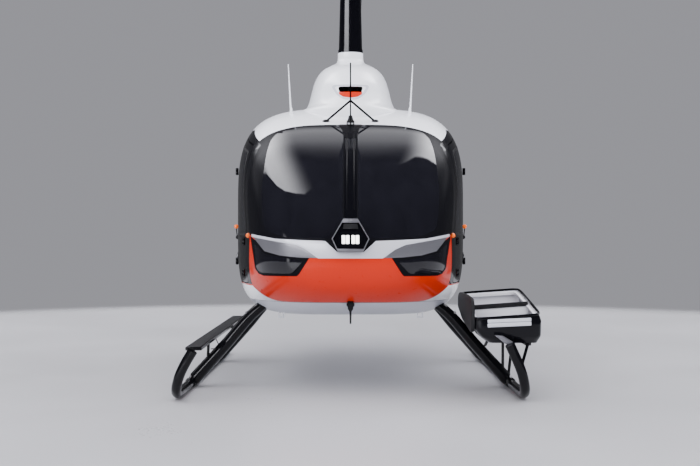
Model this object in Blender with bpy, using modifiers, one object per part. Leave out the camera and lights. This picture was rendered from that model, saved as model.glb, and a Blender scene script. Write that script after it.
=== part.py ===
# A ten-seat utility helicopter with one turbine, a two-bladed rotor and skids, parked.
# Metres, +Z up, nose toward -Y. A station is the distance aft of the nose tip.

import math

import bmesh
import bpy
import numpy as np
from mathutils import Matrix, Vector

for leftover in list(bpy.data.objects):
    bpy.data.objects.remove(leftover)

NOSE_Y = -3.0
GAP = 0.0003
SEAM = 0.00015
SKIN = 0.040
PANE = 0.010
DOOR_GAP = 0.008

BULKHEAD = 3.60
BOOM_ROOT = 5.20
SILL = 0.71
FLOOR_LOW = 0.7165
FLOOR_TOP = 0.7565

RING_POINTS = 24
TURNED_STEPS = 16
STATIONS = (0.006, 0.035, 0.11, 0.22, 0.36, 0.54, 0.74, 0.95, 1.2, 1.6,
            2.2, 2.9, 3.3, 3.7, 4.15, 4.65, 5.2)

# station, half width, belt height, top, bottom, squareness above and below the belt
HULL = np.array((
    (0.00, 0.000, 1.06, 1.060, 1.060, 2.0, 2.0),
    (0.02, 0.280, 1.07, 1.220, 0.930, 2.1, 2.2),
    (0.07, 0.470, 1.09, 1.360, 0.830, 2.4, 2.6),
    (0.16, 0.600, 1.13, 1.500, 0.760, 2.8, 3.0),
    (0.30, 0.705, 1.18, 1.660, 0.695, 3.2, 3.4),
    (0.50, 0.790, 1.25, 1.830, 0.645, 3.7, 3.8),
    (0.75, 0.865, 1.31, 2.005, 0.615, 4.1, 4.1),
    (1.00, 0.925, 1.36, 2.150, 0.600, 4.1, 4.2),
    (1.30, 0.970, 1.40, 2.280, 0.595, 4.0, 4.2),
    (1.70, 0.995, 1.42, 2.365, 0.595, 3.9, 4.2),
    (2.20, 1.000, 1.42, 2.395, 0.600, 3.9, 4.0),
    (2.90, 0.990, 1.42, 2.395, 0.620, 3.8, 3.8),
    (3.30, 0.965, 1.43, 2.380, 0.680, 3.6, 3.6),
    (3.60, 0.930, 1.45, 2.355, 0.760, 3.4, 3.4),
    (4.10, 0.780, 1.55, 2.310, 0.980, 2.9, 2.9),
    (4.60, 0.520, 1.72, 2.275, 1.320, 2.4, 2.4),
    (5.20, 0.270, 1.98, 2.240, 1.740, 2.0, 2.0),
))

# height, half width, front station, widest station, rear station
COWLING = (
    (2.20, 0.560, 1.16, 2.20, 4.45),
    (2.32, 0.520, 1.20, 2.20, 4.40),
    (2.38, 0.420, 1.26, 2.20, 4.20),
    (2.46, 0.385, 1.32, 2.20, 3.95),
    (2.56, 0.360, 1.38, 2.20, 3.65),
    (2.66, 0.330, 1.50, 2.20, 3.35),
    (2.74, 0.280, 1.65, 2.20, 3.10),
    (2.80, 0.205, 1.85, 2.23, 2.92),
    (2.85, 0.140, 2.05, 2.25, 2.77),
    (2.89, 0.122, 2.115, 2.25, 2.69),
    (2.95, 0.120, 2.12, 2.25, 2.68),
)
COWLING_SKIN = 0.018
COWLING_POINTS = 16

MAST_STATION = 2.25
MAST_RADIUS = 0.045
FAIRING_LOW = 2.9503
FAIRING_TOP = 3.47
GEARBOX_TOP = 2.80
HUB_LOW, HUB_TOP = 3.69, 3.81
BLADE_CHORD = 0.30
BLADE_ROOT = 0.60

BOOM_END = 9.15
BOOM_END_RADIUS = 0.13
BOOM_END_HEIGHT = 2.12
BOOM_SKIN = 0.015

SKID_X = 1.297
SKID_RADIUS = 0.033
LEG_STATIONS = {"cross_tube_front": 0.76, "cross_tube_aft": 2.55}

# x, height, thickness and chord of a cross tube's left half, from the skid to the middle
LEG = ((1.297, 0.030, 0.084, 0.130), (0.800, 0.600, 0.084, 0.120), (0.700, 0.664, 0.074, 0.105),
       (0.580, 0.685, 0.060, 0.080), (0.450, 0.685, 0.060, 0.062), (0.000, 0.685, 0.060, 0.062))

# red, green, blue, roughness, metallic
PAINT = {
    "white": (0.80, 0.82, 0.86, 0.25, 0.0),
    "black": (0.01, 0.01, 0.014, 0.15, 0.0),
    "orange": (0.80, 0.05, 0.005, 0.30, 0.0),
    "tinted_glass": (0.02, 0.02, 0.03, 0.05, 0.0),
    "grey_trim": (0.10, 0.10, 0.11, 0.60, 0.0),
    "dark_trim": (0.02, 0.02, 0.02, 0.70, 0.0),
    "steel": (0.50, 0.50, 0.52, 0.30, 1.0),
    "silver": (0.70, 0.71, 0.73, 0.20, 1.0),
    "leather": (0.08, 0.07, 0.065, 0.55, 0.0),
}

parts = bpy.data.collections.new("helicopter")
cutters = bpy.data.collections.new("cutters")
for collection in (parts, cutters):
    bpy.context.scene.collection.children.link(collection)


# Small tools

def slopes(xs, ys):
    """Slopes of a monotone cubic through the points."""
    steps = np.diff(xs)
    rises = np.diff(ys) / steps
    found = np.zeros(len(xs))
    found[0], found[-1] = rises[0], rises[-1]
    for i in range(1, len(xs) - 1):
        if rises[i - 1] * rises[i] > 0:
            before = 2 * steps[i] + steps[i - 1]
            after = steps[i] + 2 * steps[i - 1]
            found[i] = (before + after) / (before / rises[i - 1] + after / rises[i])
    return found


HULL_ROOTS = np.sqrt(HULL[:, 0])
HULL_SLOPES = np.array([slopes(HULL_ROOTS, HULL[:, c]) for c in range(1, 7)]).T


def section(station):
    """Half width, belt, top, bottom and the two squareness values at a station."""
    root = math.sqrt(station)
    i = int(np.clip(np.searchsorted(HULL_ROOTS, root) - 1, 0, len(HULL_ROOTS) - 2))
    width = HULL_ROOTS[i + 1] - HULL_ROOTS[i]
    t = (root - HULL_ROOTS[i]) / width
    return (HULL[i, 1:] * (2 * t**3 - 3 * t**2 + 1) + HULL[i + 1, 1:] * (3 * t**2 - 2 * t**3)
            + width * (HULL_SLOPES[i] * (t**3 - 2 * t**2 + t) + HULL_SLOPES[i + 1] * (t**3 - t**2)))


def power(value, exponent):
    return math.copysign(abs(value) ** exponent, value)


def hull_ring(station, grow=0.0):
    half, belt, top, bottom, above, below = section(station)
    ring = []
    for i in range(RING_POINTS):
        turn = 2 * math.pi * i / RING_POINTS
        upper = math.sin(turn) >= 0
        exponent = 2 / (above if upper else below)
        height = (top - belt if upper else belt - bottom) + grow
        ring.append((
            (half + grow) * power(math.cos(turn), exponent),
            NOSE_Y + station,
            belt + height * power(math.sin(turn), exponent),
        ))
    return ring


def paint(obj, name):
    colour = bpy.data.materials.get(name)
    if colour is None:
        colour = bpy.data.materials.new(name)
        colour.use_nodes = True
        shader = colour.node_tree.nodes["Principled BSDF"]
        red, green, blue, rough, metal = PAINT[name]
        shader.inputs["Base Color"].default_value = (red, green, blue, 1.0)
        shader.inputs["Roughness"].default_value = rough
        shader.inputs["Metallic"].default_value = metal
    obj.data.materials.clear()
    obj.data.materials.append(colour)


def keep(obj, name, colour, smooth=True):
    """Makes the shape one of the helicopter's pieces."""
    obj.name = obj.data.name = name
    for group in list(obj.users_collection):
        group.objects.unlink(obj)
    parts.objects.link(obj)
    obj.hide_render = False
    obj.display_type = "TEXTURED"
    paint(obj, colour)
    if smooth:
        obj.data.shade_smooth()
        obj.data.set_sharp_from_angle(angle=math.radians(35))
    return obj


def shape(name, form):
    """A helper shape from a bmesh, in the cutters' collection."""
    mesh = bpy.data.meshes.new(name)
    form.to_mesh(mesh)
    form.free()
    obj = bpy.data.objects.new(name, mesh)
    cutters.objects.link(obj)
    obj.hide_render = True
    obj.display_type = "WIRE"
    return obj


def bake(obj):
    bpy.context.view_layer.update()
    graph = bpy.context.evaluated_depsgraph_get()
    mesh = bpy.data.meshes.new_from_object(obj.evaluated_get(graph))
    obj.modifiers.clear()
    obj.data = mesh
    return obj


def copy_of(obj):
    twin = bpy.data.objects.new(obj.name, obj.data.copy())
    cutters.objects.link(twin)
    twin.hide_render = True
    twin.display_type = "WIRE"
    return twin


def boolean(obj, other, operation, spend=True):
    modifier = obj.modifiers.new(operation.lower(), "BOOLEAN")
    modifier.operation = operation
    modifier.solver = "EXACT"
    modifier.object = other
    bake(obj)
    if spend:
        bpy.data.objects.remove(other)
    return obj


def join(first, *others):
    for other in others:
        boolean(first, other, "UNION")
    return first


def cut(obj, *others, spend=True):
    for other in others:
        boolean(obj, other, "DIFFERENCE", spend)
    return obj


def within(obj, *others):
    for other in others:
        boolean(obj, other, "INTERSECT")
    return obj


def loft(name, rings, caps=True):
    form = bmesh.new()
    rows = [[form.verts.new(point) for point in ring] for ring in rings]
    for row, following in zip(rows, rows[1:]):
        for i in range(len(row)):
            j = (i + 1) % len(row)
            a, b, c, d = row[i], following[i], following[j], row[j]
            left = a.co.x + b.co.x + c.co.x + d.co.x >= 0
            for face in ((a, b, c), (a, c, d)) if left else ((a, b, d), (d, b, c)):
                form.faces.new(face)
    if caps:
        form.faces.new(rows[0])
        form.faces.new(rows[-1][::-1])
        bmesh.ops.recalc_face_normals(form, faces=form.faces)
    return shape(name, form)


def curve_mesh(name, curve, matrix):
    """The solid of a curve as a mesh in world coordinates."""
    holder = bpy.data.objects.new(name, curve)
    cutters.objects.link(holder)
    holder.matrix_world = matrix
    bpy.context.view_layer.update()
    graph = bpy.context.evaluated_depsgraph_get()
    mesh = bpy.data.meshes.new_from_object(holder.evaluated_get(graph))
    mesh.transform(matrix)
    form = bmesh.new()
    form.from_mesh(mesh)
    bmesh.ops.remove_doubles(form, verts=form.verts, dist=0.00001)
    bmesh.ops.recalc_face_normals(form, faces=form.faces)
    bpy.data.objects.remove(holder)
    return shape(name, form)


def prism(name, outline, plane, low, high):
    """A flat outline given depth: side is (station, z), front is (x, z), top is (x, station)."""
    curve = bpy.data.curves.new(name, "CURVE")
    curve.dimensions = "2D"
    curve.fill_mode = "BOTH"
    curve.extrude = (high - low) / 2
    line = curve.splines.new("POLY")
    line.points.add(len(outline) - 1)
    for point, (a, b) in zip(line.points, outline):
        point.co = (a, b, 0, 1)
    line.use_cyclic_u = True
    middle = (low + high) / 2
    facing, place = {
        "side": (((0, 0, 1), (1, 0, 0), (0, 1, 0)), (middle, NOSE_Y, 0)),
        "front": (((1, 0, 0), (0, 0, -1), (0, 1, 0)), (0, NOSE_Y + middle, 0)),
        "top": (((1, 0, 0), (0, 1, 0), (0, 0, 1)), (0, NOSE_Y, middle)),
    }[plane]
    return curve_mesh(name, curve, Matrix.Translation(place) @ Matrix(facing).to_4x4())


def tube(name, points, radius, resolution=3, cyclic=False):
    """A round tube through points given as (x, station, z)."""
    curve = bpy.data.curves.new(name, "CURVE")
    curve.dimensions = "3D"
    curve.bevel_depth = radius
    curve.bevel_resolution = resolution
    curve.use_fill_caps = True
    line = curve.splines.new("POLY")
    line.points.add(len(points) - 1)
    for point, (x, station, z) in zip(line.points, points):
        point.co = (x, NOSE_Y + station, z, 1)
    line.use_cyclic_u = cyclic
    return curve_mesh(name, curve, Matrix.Identity(4))


def cylinder(name, centre, radius, depth, axis="Z", sides=16):
    form = bmesh.new()
    bmesh.ops.create_cone(form, cap_ends=True, segments=sides, radius1=radius, radius2=radius, depth=depth)
    facing = {"X": Matrix.Rotation(math.pi / 2, 4, "Y"), "Y": Matrix.Rotation(math.pi / 2, 4, "X"),
              "Z": Matrix.Identity(4)}[axis]
    x, station, z = centre
    form.transform(Matrix.Translation((x, NOSE_Y + station, z)) @ facing)
    return shape(name, form)


def box(name, x_range, stations, z_range, round_by=0.0):
    form = bmesh.new()
    bmesh.ops.create_cube(form, size=1.0)
    low = Vector((x_range[0], NOSE_Y + stations[0], z_range[0]))
    high = Vector((x_range[1], NOSE_Y + stations[1], z_range[1]))
    form.transform(Matrix.Translation((low + high) / 2) @ Matrix.Diagonal((*(high - low), 1)))
    if round_by:
        bmesh.ops.bevel(form, geom=form.edges, offset=round_by, segments=2, profile=0.5, affect="EDGES")
    return shape(name, form)


def turned(name, profile, station):
    """A profile of (radius, z), outer side first and top to bottom, turned about a vertical axis."""
    form = bmesh.new()
    verts = [form.verts.new((radius, 0, z)) for radius, z in profile]
    for first, second in zip(verts, verts[1:] + verts[:1]):
        form.edges.new((first, second))
    obj = shape(name, form)
    screw = obj.modifiers.new("screw", "SCREW")
    screw.steps = screw.render_steps = TURNED_STEPS
    screw.use_merge_vertices = True
    screw.merge_threshold = 0.0001
    bake(obj)
    obj.data.transform(Matrix.Translation((0, NOSE_Y + station, 0)))
    form = bmesh.new()
    form.from_mesh(obj.data)
    bmesh.ops.recalc_face_normals(form, faces=form.faces)
    form.to_mesh(obj.data)
    form.free()
    return obj


def solidify(obj, thickness, rim=True):
    modifier = obj.modifiers.new("solidify", "SOLIDIFY")
    modifier.thickness = thickness
    modifier.offset = -1
    modifier.use_rim = rim
    modifier.use_even_offset = True
    modifier.use_quality_normals = True
    return bake(obj)


def shrink(outline, by):
    """Moves each side of an outline inwards."""
    area = sum(a[0] * b[1] - b[0] * a[1] for a, b in zip(outline, outline[1:] + outline[:1]))
    sign = 1 if area > 0 else -1
    moved = []
    for before, here, after in zip(outline[-1:] + outline[:-1], outline, outline[1:] + outline[:1]):
        first = Vector(here) - Vector(before)
        second = Vector(after) - Vector(here)
        n1 = Vector((-first.y, first.x)).normalized() * sign
        n2 = Vector((-second.y, second.x)).normalized() * sign
        middle = (n1 + n2) / (1 + n1.dot(n2))
        moved.append(tuple(Vector(here) + middle * by))
    return moved


def rounded(outline, radius, steps=2):
    """Turns each corner of an outline into an arc."""
    found = []
    for before, here, after in zip(outline[-1:] + outline[:-1], outline, outline[1:] + outline[:1]):
        here = Vector(here)
        back = Vector(before) - here
        on = Vector(after) - here
        reach = min(radius, back.length / 2.2, on.length / 2.2)
        start = here + back.normalized() * reach
        end = here + on.normalized() * reach
        for i in range(steps + 1):
            t = i / steps
            found.append(tuple(start * (1 - t)**2 + here * 2 * t * (1 - t) + end * t**2))
    return found


def mirrored(outline):
    return [(-x, z) for x, z in outline][::-1]


def mirror_of(obj):
    """The same shape on the other side of the plane x = 0."""
    twin = copy_of(obj)
    form = bmesh.new()
    form.from_mesh(twin.data)
    bmesh.ops.scale(form, vec=(-1, 1, 1), verts=form.verts)
    bmesh.ops.reverse_faces(form, faces=form.faces)
    form.to_mesh(twin.data)
    form.free()
    return twin


def set_origin(obj, place):
    """Puts the object's origin on a point, such as a hinge's axis, without moving its shape."""
    obj.data.transform(Matrix.Translation(-Vector(place)))
    obj.location = place


# Hull shells, which every panel is cut from

def hull_surface(name):
    """The hull's outer surface, closed at the nose and open aft."""
    obj = loft(name, [hull_ring(s) for s in STATIONS], caps=False)
    form = bmesh.new()
    form.from_mesh(obj.data)
    form.verts.ensure_lookup_table()
    form.faces.new([form.verts[i] for i in range(RING_POINTS)])
    form.to_mesh(obj.data)
    form.free()
    return obj


def hull_shell(name, thickness):
    return solidify(hull_surface(name), thickness)


def hull_inside(name, depth):
    """The solid that fills the hull, up to a depth under its outer surface."""
    obj = solidify(hull_surface(name), depth, rim=False)
    form = bmesh.new()
    form.from_mesh(obj.data)
    form.verts.ensure_lookup_table()
    outer = len(form.verts) // 2
    bmesh.ops.delete(form, geom=form.verts[:outer], context="VERTS")
    form.verts.ensure_lookup_table()
    form.faces.new(form.verts[-RING_POINTS:])
    bmesh.ops.recalc_face_normals(form, faces=form.faces)
    form.to_mesh(obj.data)
    form.free()
    return obj


thick_hull = hull_shell("thick_hull", SKIN)
thin_hull = hull_shell("thin_hull", PANE)
hull_core = loft("hull_core", [hull_ring(s, grow=GAP) for s in STATIONS])

WINDSHIELD = [(-0.3, 1.17), (0.0, 1.184), (0.52, 1.23), (0.70, 1.78), (0.86, 2.03),
              (0.99, 2.165), (0.90, 2.4), (-0.3, 2.4)]
ROOF = [(0.86, 2.03), (1.3, 2.135), (1.7, 2.165), (BULKHEAD, 2.165), (BULKHEAD, 2.6),
        (1.16, 2.6), (0.99, 2.165)]
SIDE_FRAME = [(0.56, SILL), (0.56, 0.9), (0.52, 1.23), (0.70, 1.78), (0.86, 2.03), (1.3, 2.135),
              (1.7, 2.165), (BULKHEAD, 2.165), (BULKHEAD, SILL)]
NOSE = [(-0.3, SILL), (-0.3, 1.17), (0.0, 1.184), (0.52, 1.23), (0.56, 0.9), (0.56, SILL)]
BELLY = [(-0.3, 0.4), (-0.3, SILL), (BULKHEAD, SILL), (BULKHEAD, 0.4)]
AFT_BODY = [(BULKHEAD, 0.4), (BULKHEAD, 2.6), (BOOM_ROOT + 0.2, 2.6), (BOOM_ROOT + 0.2, 0.4)]
CHIN_WINDOW = rounded([(0.77, 1.17), (0.745, 0.96), (0.70, 0.925), (0.44, 0.925), (0.33, 1.04),
                       (0.50, 1.07), (0.66, 1.10), (0.72, 1.16)], 0.03, 2)
CHIN_DEPTH = 0.50
POST_HALF = 0.045
WIDE = 1.3

for name, outline, colour in (("belly_pan", BELLY, "white"), ("roof_panel", ROOF, "white"),
                              ("aft_fuselage", AFT_BODY, "white"), ("nose_panel", NOSE, "orange")):
    panel = within(copy_of(thick_hull), prism("region", shrink(outline, SEAM), "side", -WIDE, WIDE))
    keep(panel, name, colour)

post = within(copy_of(thick_hull), prism("region", shrink(WINDSHIELD, SEAM), "side", -POST_HALF, POST_HALF))
keep(post, "windshield_post", "black")

SIDES = {"left": 1, "right": -1}
left_pane = within(copy_of(thin_hull),
                   prism("region", shrink(WINDSHIELD, SEAM), "side", POST_HALF + GAP, WIDE))
left_chin = within(copy_of(thin_hull),
                   prism("region", shrink(CHIN_WINDOW, GAP), "front", -0.3, CHIN_DEPTH - GAP))
for window in (CHIN_WINDOW, mirrored(CHIN_WINDOW)):
    cut(bpy.data.objects["nose_panel"], prism("hole", window, "front", -0.3, CHIN_DEPTH))
for glass, name in ((left_pane, "windshield"), (left_chin, "chin_window")):
    keep(mirror_of(glass), f"{name}_right", "tinted_glass")
    keep(glass, f"{name}_left", "tinted_glass")

# Doors: each opening ends in an arc about the hinge, so that the swinging edge keeps its gap.
# name: opening, window, hinge x, hinge station, swing radius, hinge heights
DOORS = {
    "front_door": (
        [(0.64, 0.84), (0.60, 1.23), (0.79, 1.76), (0.93, 1.975), (1.3, 2.065), (1.75, 2.09), (1.75, 0.84)],
        [(0.66, 1.24), (0.85, 1.755), (0.965, 1.92), (1.3, 1.99), (1.545, 2.005), (1.545, 1.24)],
        0.850, 0.585, 1.040, (0.93, 1.18)),
    "rear_door": (
        [(1.70, 0.84), (1.70, 2.095), (3.15, 2.095), (3.15, 0.84)],
        [(1.775, 1.24), (1.775, 2.015), (2.85, 2.015), (2.85, 1.24)],
        1.015, 1.665, 1.285, (1.00, 1.80)),
}
KNUCKLE_RADIUS = 0.013
KNUCKLE_HEIGHT = 0.030


def swing_disc(hinge_x, hinge_station, radius):
    return cylinder("swing", (hinge_x, hinge_station, 1.4), radius, 2.4, sides=96)


def hinge_half(hinge_x, hinge_station, z, reach, thick, foot=None):
    """A knuckle with its arm: reach is the arm's x range, thick its station range."""
    half = KNUCKLE_HEIGHT / 2
    knuckle = cylinder("knuckle", (hinge_x, hinge_station, z), KNUCKLE_RADIUS, KNUCKLE_HEIGHT, sides=8)
    join(knuckle, box("arm", reach, thick, (z - half + 0.003, z + half - 0.003)))
    if foot:
        join(knuckle, box("foot", *foot, (z - half + 0.004, z + half - 0.004)))
    return knuckle


frame = within(copy_of(thick_hull), prism("region", shrink(SIDE_FRAME, SEAM), "side", 0.0, WIDE))
moving = []
for door, (opening, window, hinge_x, hinge_station, radius, heights) in DOORS.items():
    hole = prism("hole", rounded(opening, 0.05), "side", 0.0, WIDE)
    cut(frame, within(hole, swing_disc(hinge_x, hinge_station, radius)))
    region = prism("leaf", rounded(shrink(opening, DOOR_GAP), 0.045), "side", 0.0, WIDE)
    within(region, swing_disc(hinge_x, hinge_station, radius - DOOR_GAP))
    leaf = within(copy_of(thick_hull), region)
    window_outline = rounded(window, 0.05)
    cut(leaf, prism("hole", window_outline, "side", 0.0, WIDE))
    glass = within(copy_of(thin_hull), prism("region", shrink(window_outline, GAP), "side", 0.0, WIDE))
    inside = hinge_x - 0.075
    for z in heights:
        rise = (KNUCKLE_HEIGHT + GAP) / 2
        join(frame, hinge_half(hinge_x, hinge_station, z - rise, (inside, hinge_x),
                               (hinge_station - 0.010, hinge_station + 0.008)))
        join(leaf, hinge_half(hinge_x, hinge_station, z + rise, (hinge_x - 0.012, hinge_x + 0.006),
                              (hinge_station, hinge_station + 0.095),
                              ((inside, hinge_x), (hinge_station + 0.070, hinge_station + 0.094))))
    moving += [(leaf, door, "black", hinge_x, hinge_station),
               (glass, f"{door}_glass", "tinted_glass", hinge_x, hinge_station)]
for piece, name, colour, hinge_x, hinge_station in moving:
    twin = keep(mirror_of(piece), f"{name}_right", colour)
    set_origin(twin, (-hinge_x, NOSE_Y + hinge_station, 0))
    set_origin(keep(piece, f"{name}_left", colour), (hinge_x, NOSE_Y + hinge_station, 0))
keep(mirror_of(frame), "side_frame_right", "black")
keep(frame, "side_frame_left", "black")

# Cabin floor and aft bulkhead

cabin_space = hull_inside("cabin_space", SKIN + 2 * GAP)
floor = box("floor", (-WIDE, WIDE), (0.60, 3.49), (FLOOR_LOW, FLOOR_TOP))
bulkhead = box("bulkhead", (-WIDE, WIDE), (3.50, 3.56), (0.5, 2.6))
for slab, name in ((floor, "cabin_floor"), (bulkhead, "aft_bulkhead")):
    boolean(slab, cabin_space, "INTERSECT", spend=False)
    keep(slab, name, "grey_trim", smooth=False)

# Seats: rows of (name, front station, number of seats, pitch)
SEAT_ROWS = (("front_seats", 1.12, 2, 0.72), ("middle_seats", 1.98, 4, 0.43), ("rear_seats", 2.84, 4, 0.43))
SEAT_WIDTH = 0.40
CUSHION_TOP = FLOOR_TOP + 0.42
SEAT_PROFILE = ((0.02, 0.30), (0.00, 0.41), (0.05, 0.44), (0.40, 0.40), (0.54, 0.98), (0.60, 0.98),
                (0.58, 0.60), (0.50, 0.30))

for name, front, count, pitch in SEAT_ROWS:
    half = pitch * (count - 1) / 2
    base_half = min(half + SEAT_WIDTH / 2, 0.54)
    row = box("base", (-base_half, base_half), (front + 0.08, front + 0.46),
              (FLOOR_TOP + GAP, FLOOR_TOP + 0.34))
    for i in range(count):
        x = -half + pitch * i
        outline = [(front + s, FLOOR_TOP + z) for s, z in SEAT_PROFILE]
        seat = prism("seat", outline, "side", x - SEAT_WIDTH / 2, x + SEAT_WIDTH / 2)
        head = box("head", (x - 0.12, x + 0.12), (front + 0.53, front + 0.61),
                   (FLOOR_TOP + 0.95, FLOOR_TOP + 1.16))
        join(row, join(seat, head))
    keep(row, name, "leather", smooth=False)

pedestal = box("pedestal", (-0.15, 0.15), (0.72, 0.98), (FLOOR_TOP + GAP, 1.16))
console = prism("console", [(0.66, 1.10), (0.60, 1.30), (0.66, 1.34), (0.74, 1.33), (0.80, 1.10)],
                "side", -0.40, 0.40)
keep(join(pedestal, console), "instrument_panel", "dark_trim", smooth=False)

stick = tube("stick", [(0, 1.04, FLOOR_TOP + GAP), (0, 1.04, 0.85), (0, 1.02, 1.30), (0, 1.05, 1.36)],
             0.014, 2)
bar = tube("bar", [(-0.36, 1.06, 1.25), (-0.36, 1.06, 1.36), (0, 1.05, 1.355), (0.36, 1.06, 1.36),
                   (0.36, 1.06, 1.25)], 0.015, 2)
keep(join(stick, bar), "cyclic_control", "dark_trim")

# Engine, gearbox and exhaust

keep(box("engine", (-0.30, 0.30), (3.56 + GAP, 4.45), (1.55, 2.05), 0.03), "engine_block", "steel")
GEARBOX_LOW = section(MAST_STATION)[2] + 2 * GAP
keep(turned("gearbox", [(0.14, GEARBOX_TOP), (0.20, 2.70), (0.23, 2.55), (0.23, GEARBOX_LOW),
                        (0, GEARBOX_LOW), (0, GEARBOX_TOP)], MAST_STATION), "main_gearbox", "steel")


def cowling_ring(z, half, front, widest, rear, count=COWLING_POINTS):
    ring = []
    for i in range(count):
        turn = 2 * math.pi * i / count
        across, along = math.cos(turn), math.sin(turn)
        reach = rear - widest if along > 0 else widest - front
        exponent = 0.85 if along > 0 else 0.80
        ring.append((half * power(across, 0.85), NOSE_Y + widest + reach * power(along, exponent), z))
    return ring


cowling = loft("cowling", [cowling_ring(*row) for row in reversed(COWLING)], caps=False)
solidify(cowling, COWLING_SKIN)
cut(cowling, hull_core, spend=False)
INTAKE = rounded([(-0.109, 2.521), (0.109, 2.521), (0.085, 2.425), (-0.085, 2.425)], 0.02, 2)
cut(cowling, prism("intake", INTAKE, "front", 1.0, 1.9))
EXHAUST_HEIGHT = 2.50
EXHAUST_RADIUS = 0.13
EXHAUST_ENDS = (3.50, 4.55)
exhaust_middle = (0, sum(EXHAUST_ENDS) / 2, EXHAUST_HEIGHT)
exhaust_length = EXHAUST_ENDS[1] - EXHAUST_ENDS[0]
cut(cowling, cylinder("outlet", (0, 4.2, EXHAUST_HEIGHT), EXHAUST_RADIUS + GAP, 2.0, "Y"))
keep(cowling, "pylon_cowling", "white")
pipe = cylinder("pipe", exhaust_middle, EXHAUST_RADIUS, exhaust_length, "Y")
cut(pipe, cylinder("bore", exhaust_middle, EXHAUST_RADIUS - 0.012, exhaust_length + 0.1, "Y"))
cut(pipe, hull_core, spend=False)
keep(pipe, "exhaust_pipe", "steel")

# Mast fairing: streamlined in plan, blunt in front and drawn out aft

# height, half width, front reach, rear reach
FAIRING = ((FAIRING_LOW, 0.112, 0.120, 0.415), (FAIRING_TOP, 0.099, 0.104, 0.370))


def fairing_ring(z, half, front, rear, inset):
    return cowling_ring(z, half - inset, MAST_STATION - front + inset, MAST_STATION,
                        MAST_STATION + rear - 2 * inset, 16)


fairing = loft("fairing", [fairing_ring(*row, 0.0) for row in FAIRING])
hollow = [(z - 0.01 if z == FAIRING_LOW else z + 0.01 if z == FAIRING_TOP else z, *rest)
          for z, *rest in FAIRING]
cut(fairing, loft("hollow", [fairing_ring(*row, 0.012) for row in hollow]))
keep(fairing, "mast_fairing", "black")

# Main rotor: mast, swashplate with its links, hub and two blades that lie fore and aft

MAST = (0, NOSE_Y + MAST_STATION, 0)
mast = cylinder("mast", (0, MAST_STATION, (GEARBOX_TOP + HUB_LOW) / 2), MAST_RADIUS,
                HUB_LOW - GEARBOX_TOP - 2 * GAP)
keep(mast, "rotor_mast", "steel")

SWASH_LOW, SWASH_TOP = 3.53, 3.58
swash = turned("swash", [(0.15, SWASH_TOP), (0.15, SWASH_LOW), (MAST_RADIUS + GAP, SWASH_LOW),
                         (MAST_RADIUS + GAP, SWASH_TOP)], MAST_STATION)
for sign in (1, -1):
    join(swash, tube("link", [(sign * 0.125, MAST_STATION - sign * 0.04, SWASH_LOW + 0.02),
                              (sign * 0.125, MAST_STATION - sign * 0.04, HUB_LOW - GAP)], 0.010, 2))
keep(swash, "swashplate", "dark_trim")

hub = box("hub", (-0.075, 0.075), (MAST_STATION - BLADE_ROOT, MAST_STATION + BLADE_ROOT), (HUB_LOW, HUB_TOP),
          0.02)
join(hub, box("horns", (-0.15, 0.15), (MAST_STATION - 0.08, MAST_STATION + 0.08), (HUB_LOW, HUB_LOW + 0.05)),
     cylinder("cap", (0, MAST_STATION, HUB_TOP), 0.05, 0.06))
keep(hub, "rotor_hub", "dark_trim")

AIRFOIL_STATIONS = (1.0, 0.72, 0.42, 0.2, 0.06, 0.0)


def airfoil(chord, thickness):
    """Points of a symmetric section, trailing edge first, as (distance from leading edge, height)."""
    upper = []
    for x in AIRFOIL_STATIONS:
        half = 5 * thickness * (0.2969 * math.sqrt(x) - 0.1260 * x - 0.3516 * x**2 + 0.2843 * x**3
                                - 0.1036 * x**4)
        upper.append((x * chord, half * chord))
    lower = [(x, -z) for x, z in upper[-2:0:-1]]
    return upper + lower


# reach along the blade, chord, thickness over chord, droop
BLADE = ((0.0, 0.15, 0.50, 0.0), (0.12, 0.16, 0.40, 0.0), (0.45, BLADE_CHORD, 0.14, 0.002),
         (2.0, BLADE_CHORD, 0.12, 0.018), (3.7, BLADE_CHORD, 0.12, 0.068),
         (5.1, BLADE_CHORD, 0.11, 0.128), (5.4, 0.22, 0.10, 0.142))
BLADE_START = BLADE_ROOT + GAP
BLADE_MIDDLE = (HUB_LOW + HUB_TOP) / 2

for name, sign in (("main_blade_front", -1), ("main_blade_aft", 1)):
    rings = []
    for reach, chord, thickness, droop in BLADE:
        station = MAST_STATION + sign * (BLADE_START + reach)
        rings.append([(-sign * (chord * 0.35 - along), NOSE_Y + station, BLADE_MIDDLE + up - droop)
                      for along, up in airfoil(chord, thickness)])
    keep(loft("blade", rings), name, "dark_trim")

for name in ("rotor_mast", "swashplate", "rotor_hub", "main_blade_front", "main_blade_aft"):
    set_origin(bpy.data.objects[name], MAST)

# Tail boom, gearbox, fins and stabilizer

root_half, root_belt, root_top, root_bottom = section(BOOM_ROOT)[:4]
BOOM_POINTS = 16


def boom_ring(station, grow=0.0):
    share = (station - BOOM_ROOT) / (BOOM_END - BOOM_ROOT)
    half = root_half * (1 - share) + BOOM_END_RADIUS * share + grow
    tall = (root_top - root_bottom) / 2 * (1 - share) + BOOM_END_RADIUS * share + grow
    middle = (root_top + root_bottom) / 2 * (1 - share) + BOOM_END_HEIGHT * share
    turns = [2 * math.pi * (i + 0.5) / BOOM_POINTS for i in range(BOOM_POINTS)]
    return [(half * math.cos(t), NOSE_Y + station, middle + tall * math.sin(t)) for t in turns]


BOOM_STATIONS = (BOOM_ROOT + GAP, BOOM_END)
boom_core = loft("boom_core", [boom_ring(s, GAP) for s in BOOM_STATIONS])
boom = loft("boom", [boom_ring(s) for s in BOOM_STATIONS])
cut(boom, loft("bore", [boom_ring(s, -BOOM_SKIN) for s in (BOOM_ROOT - 0.05, BOOM_END - 0.02)]))
keep(boom, "tail_boom", "white")

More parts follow.
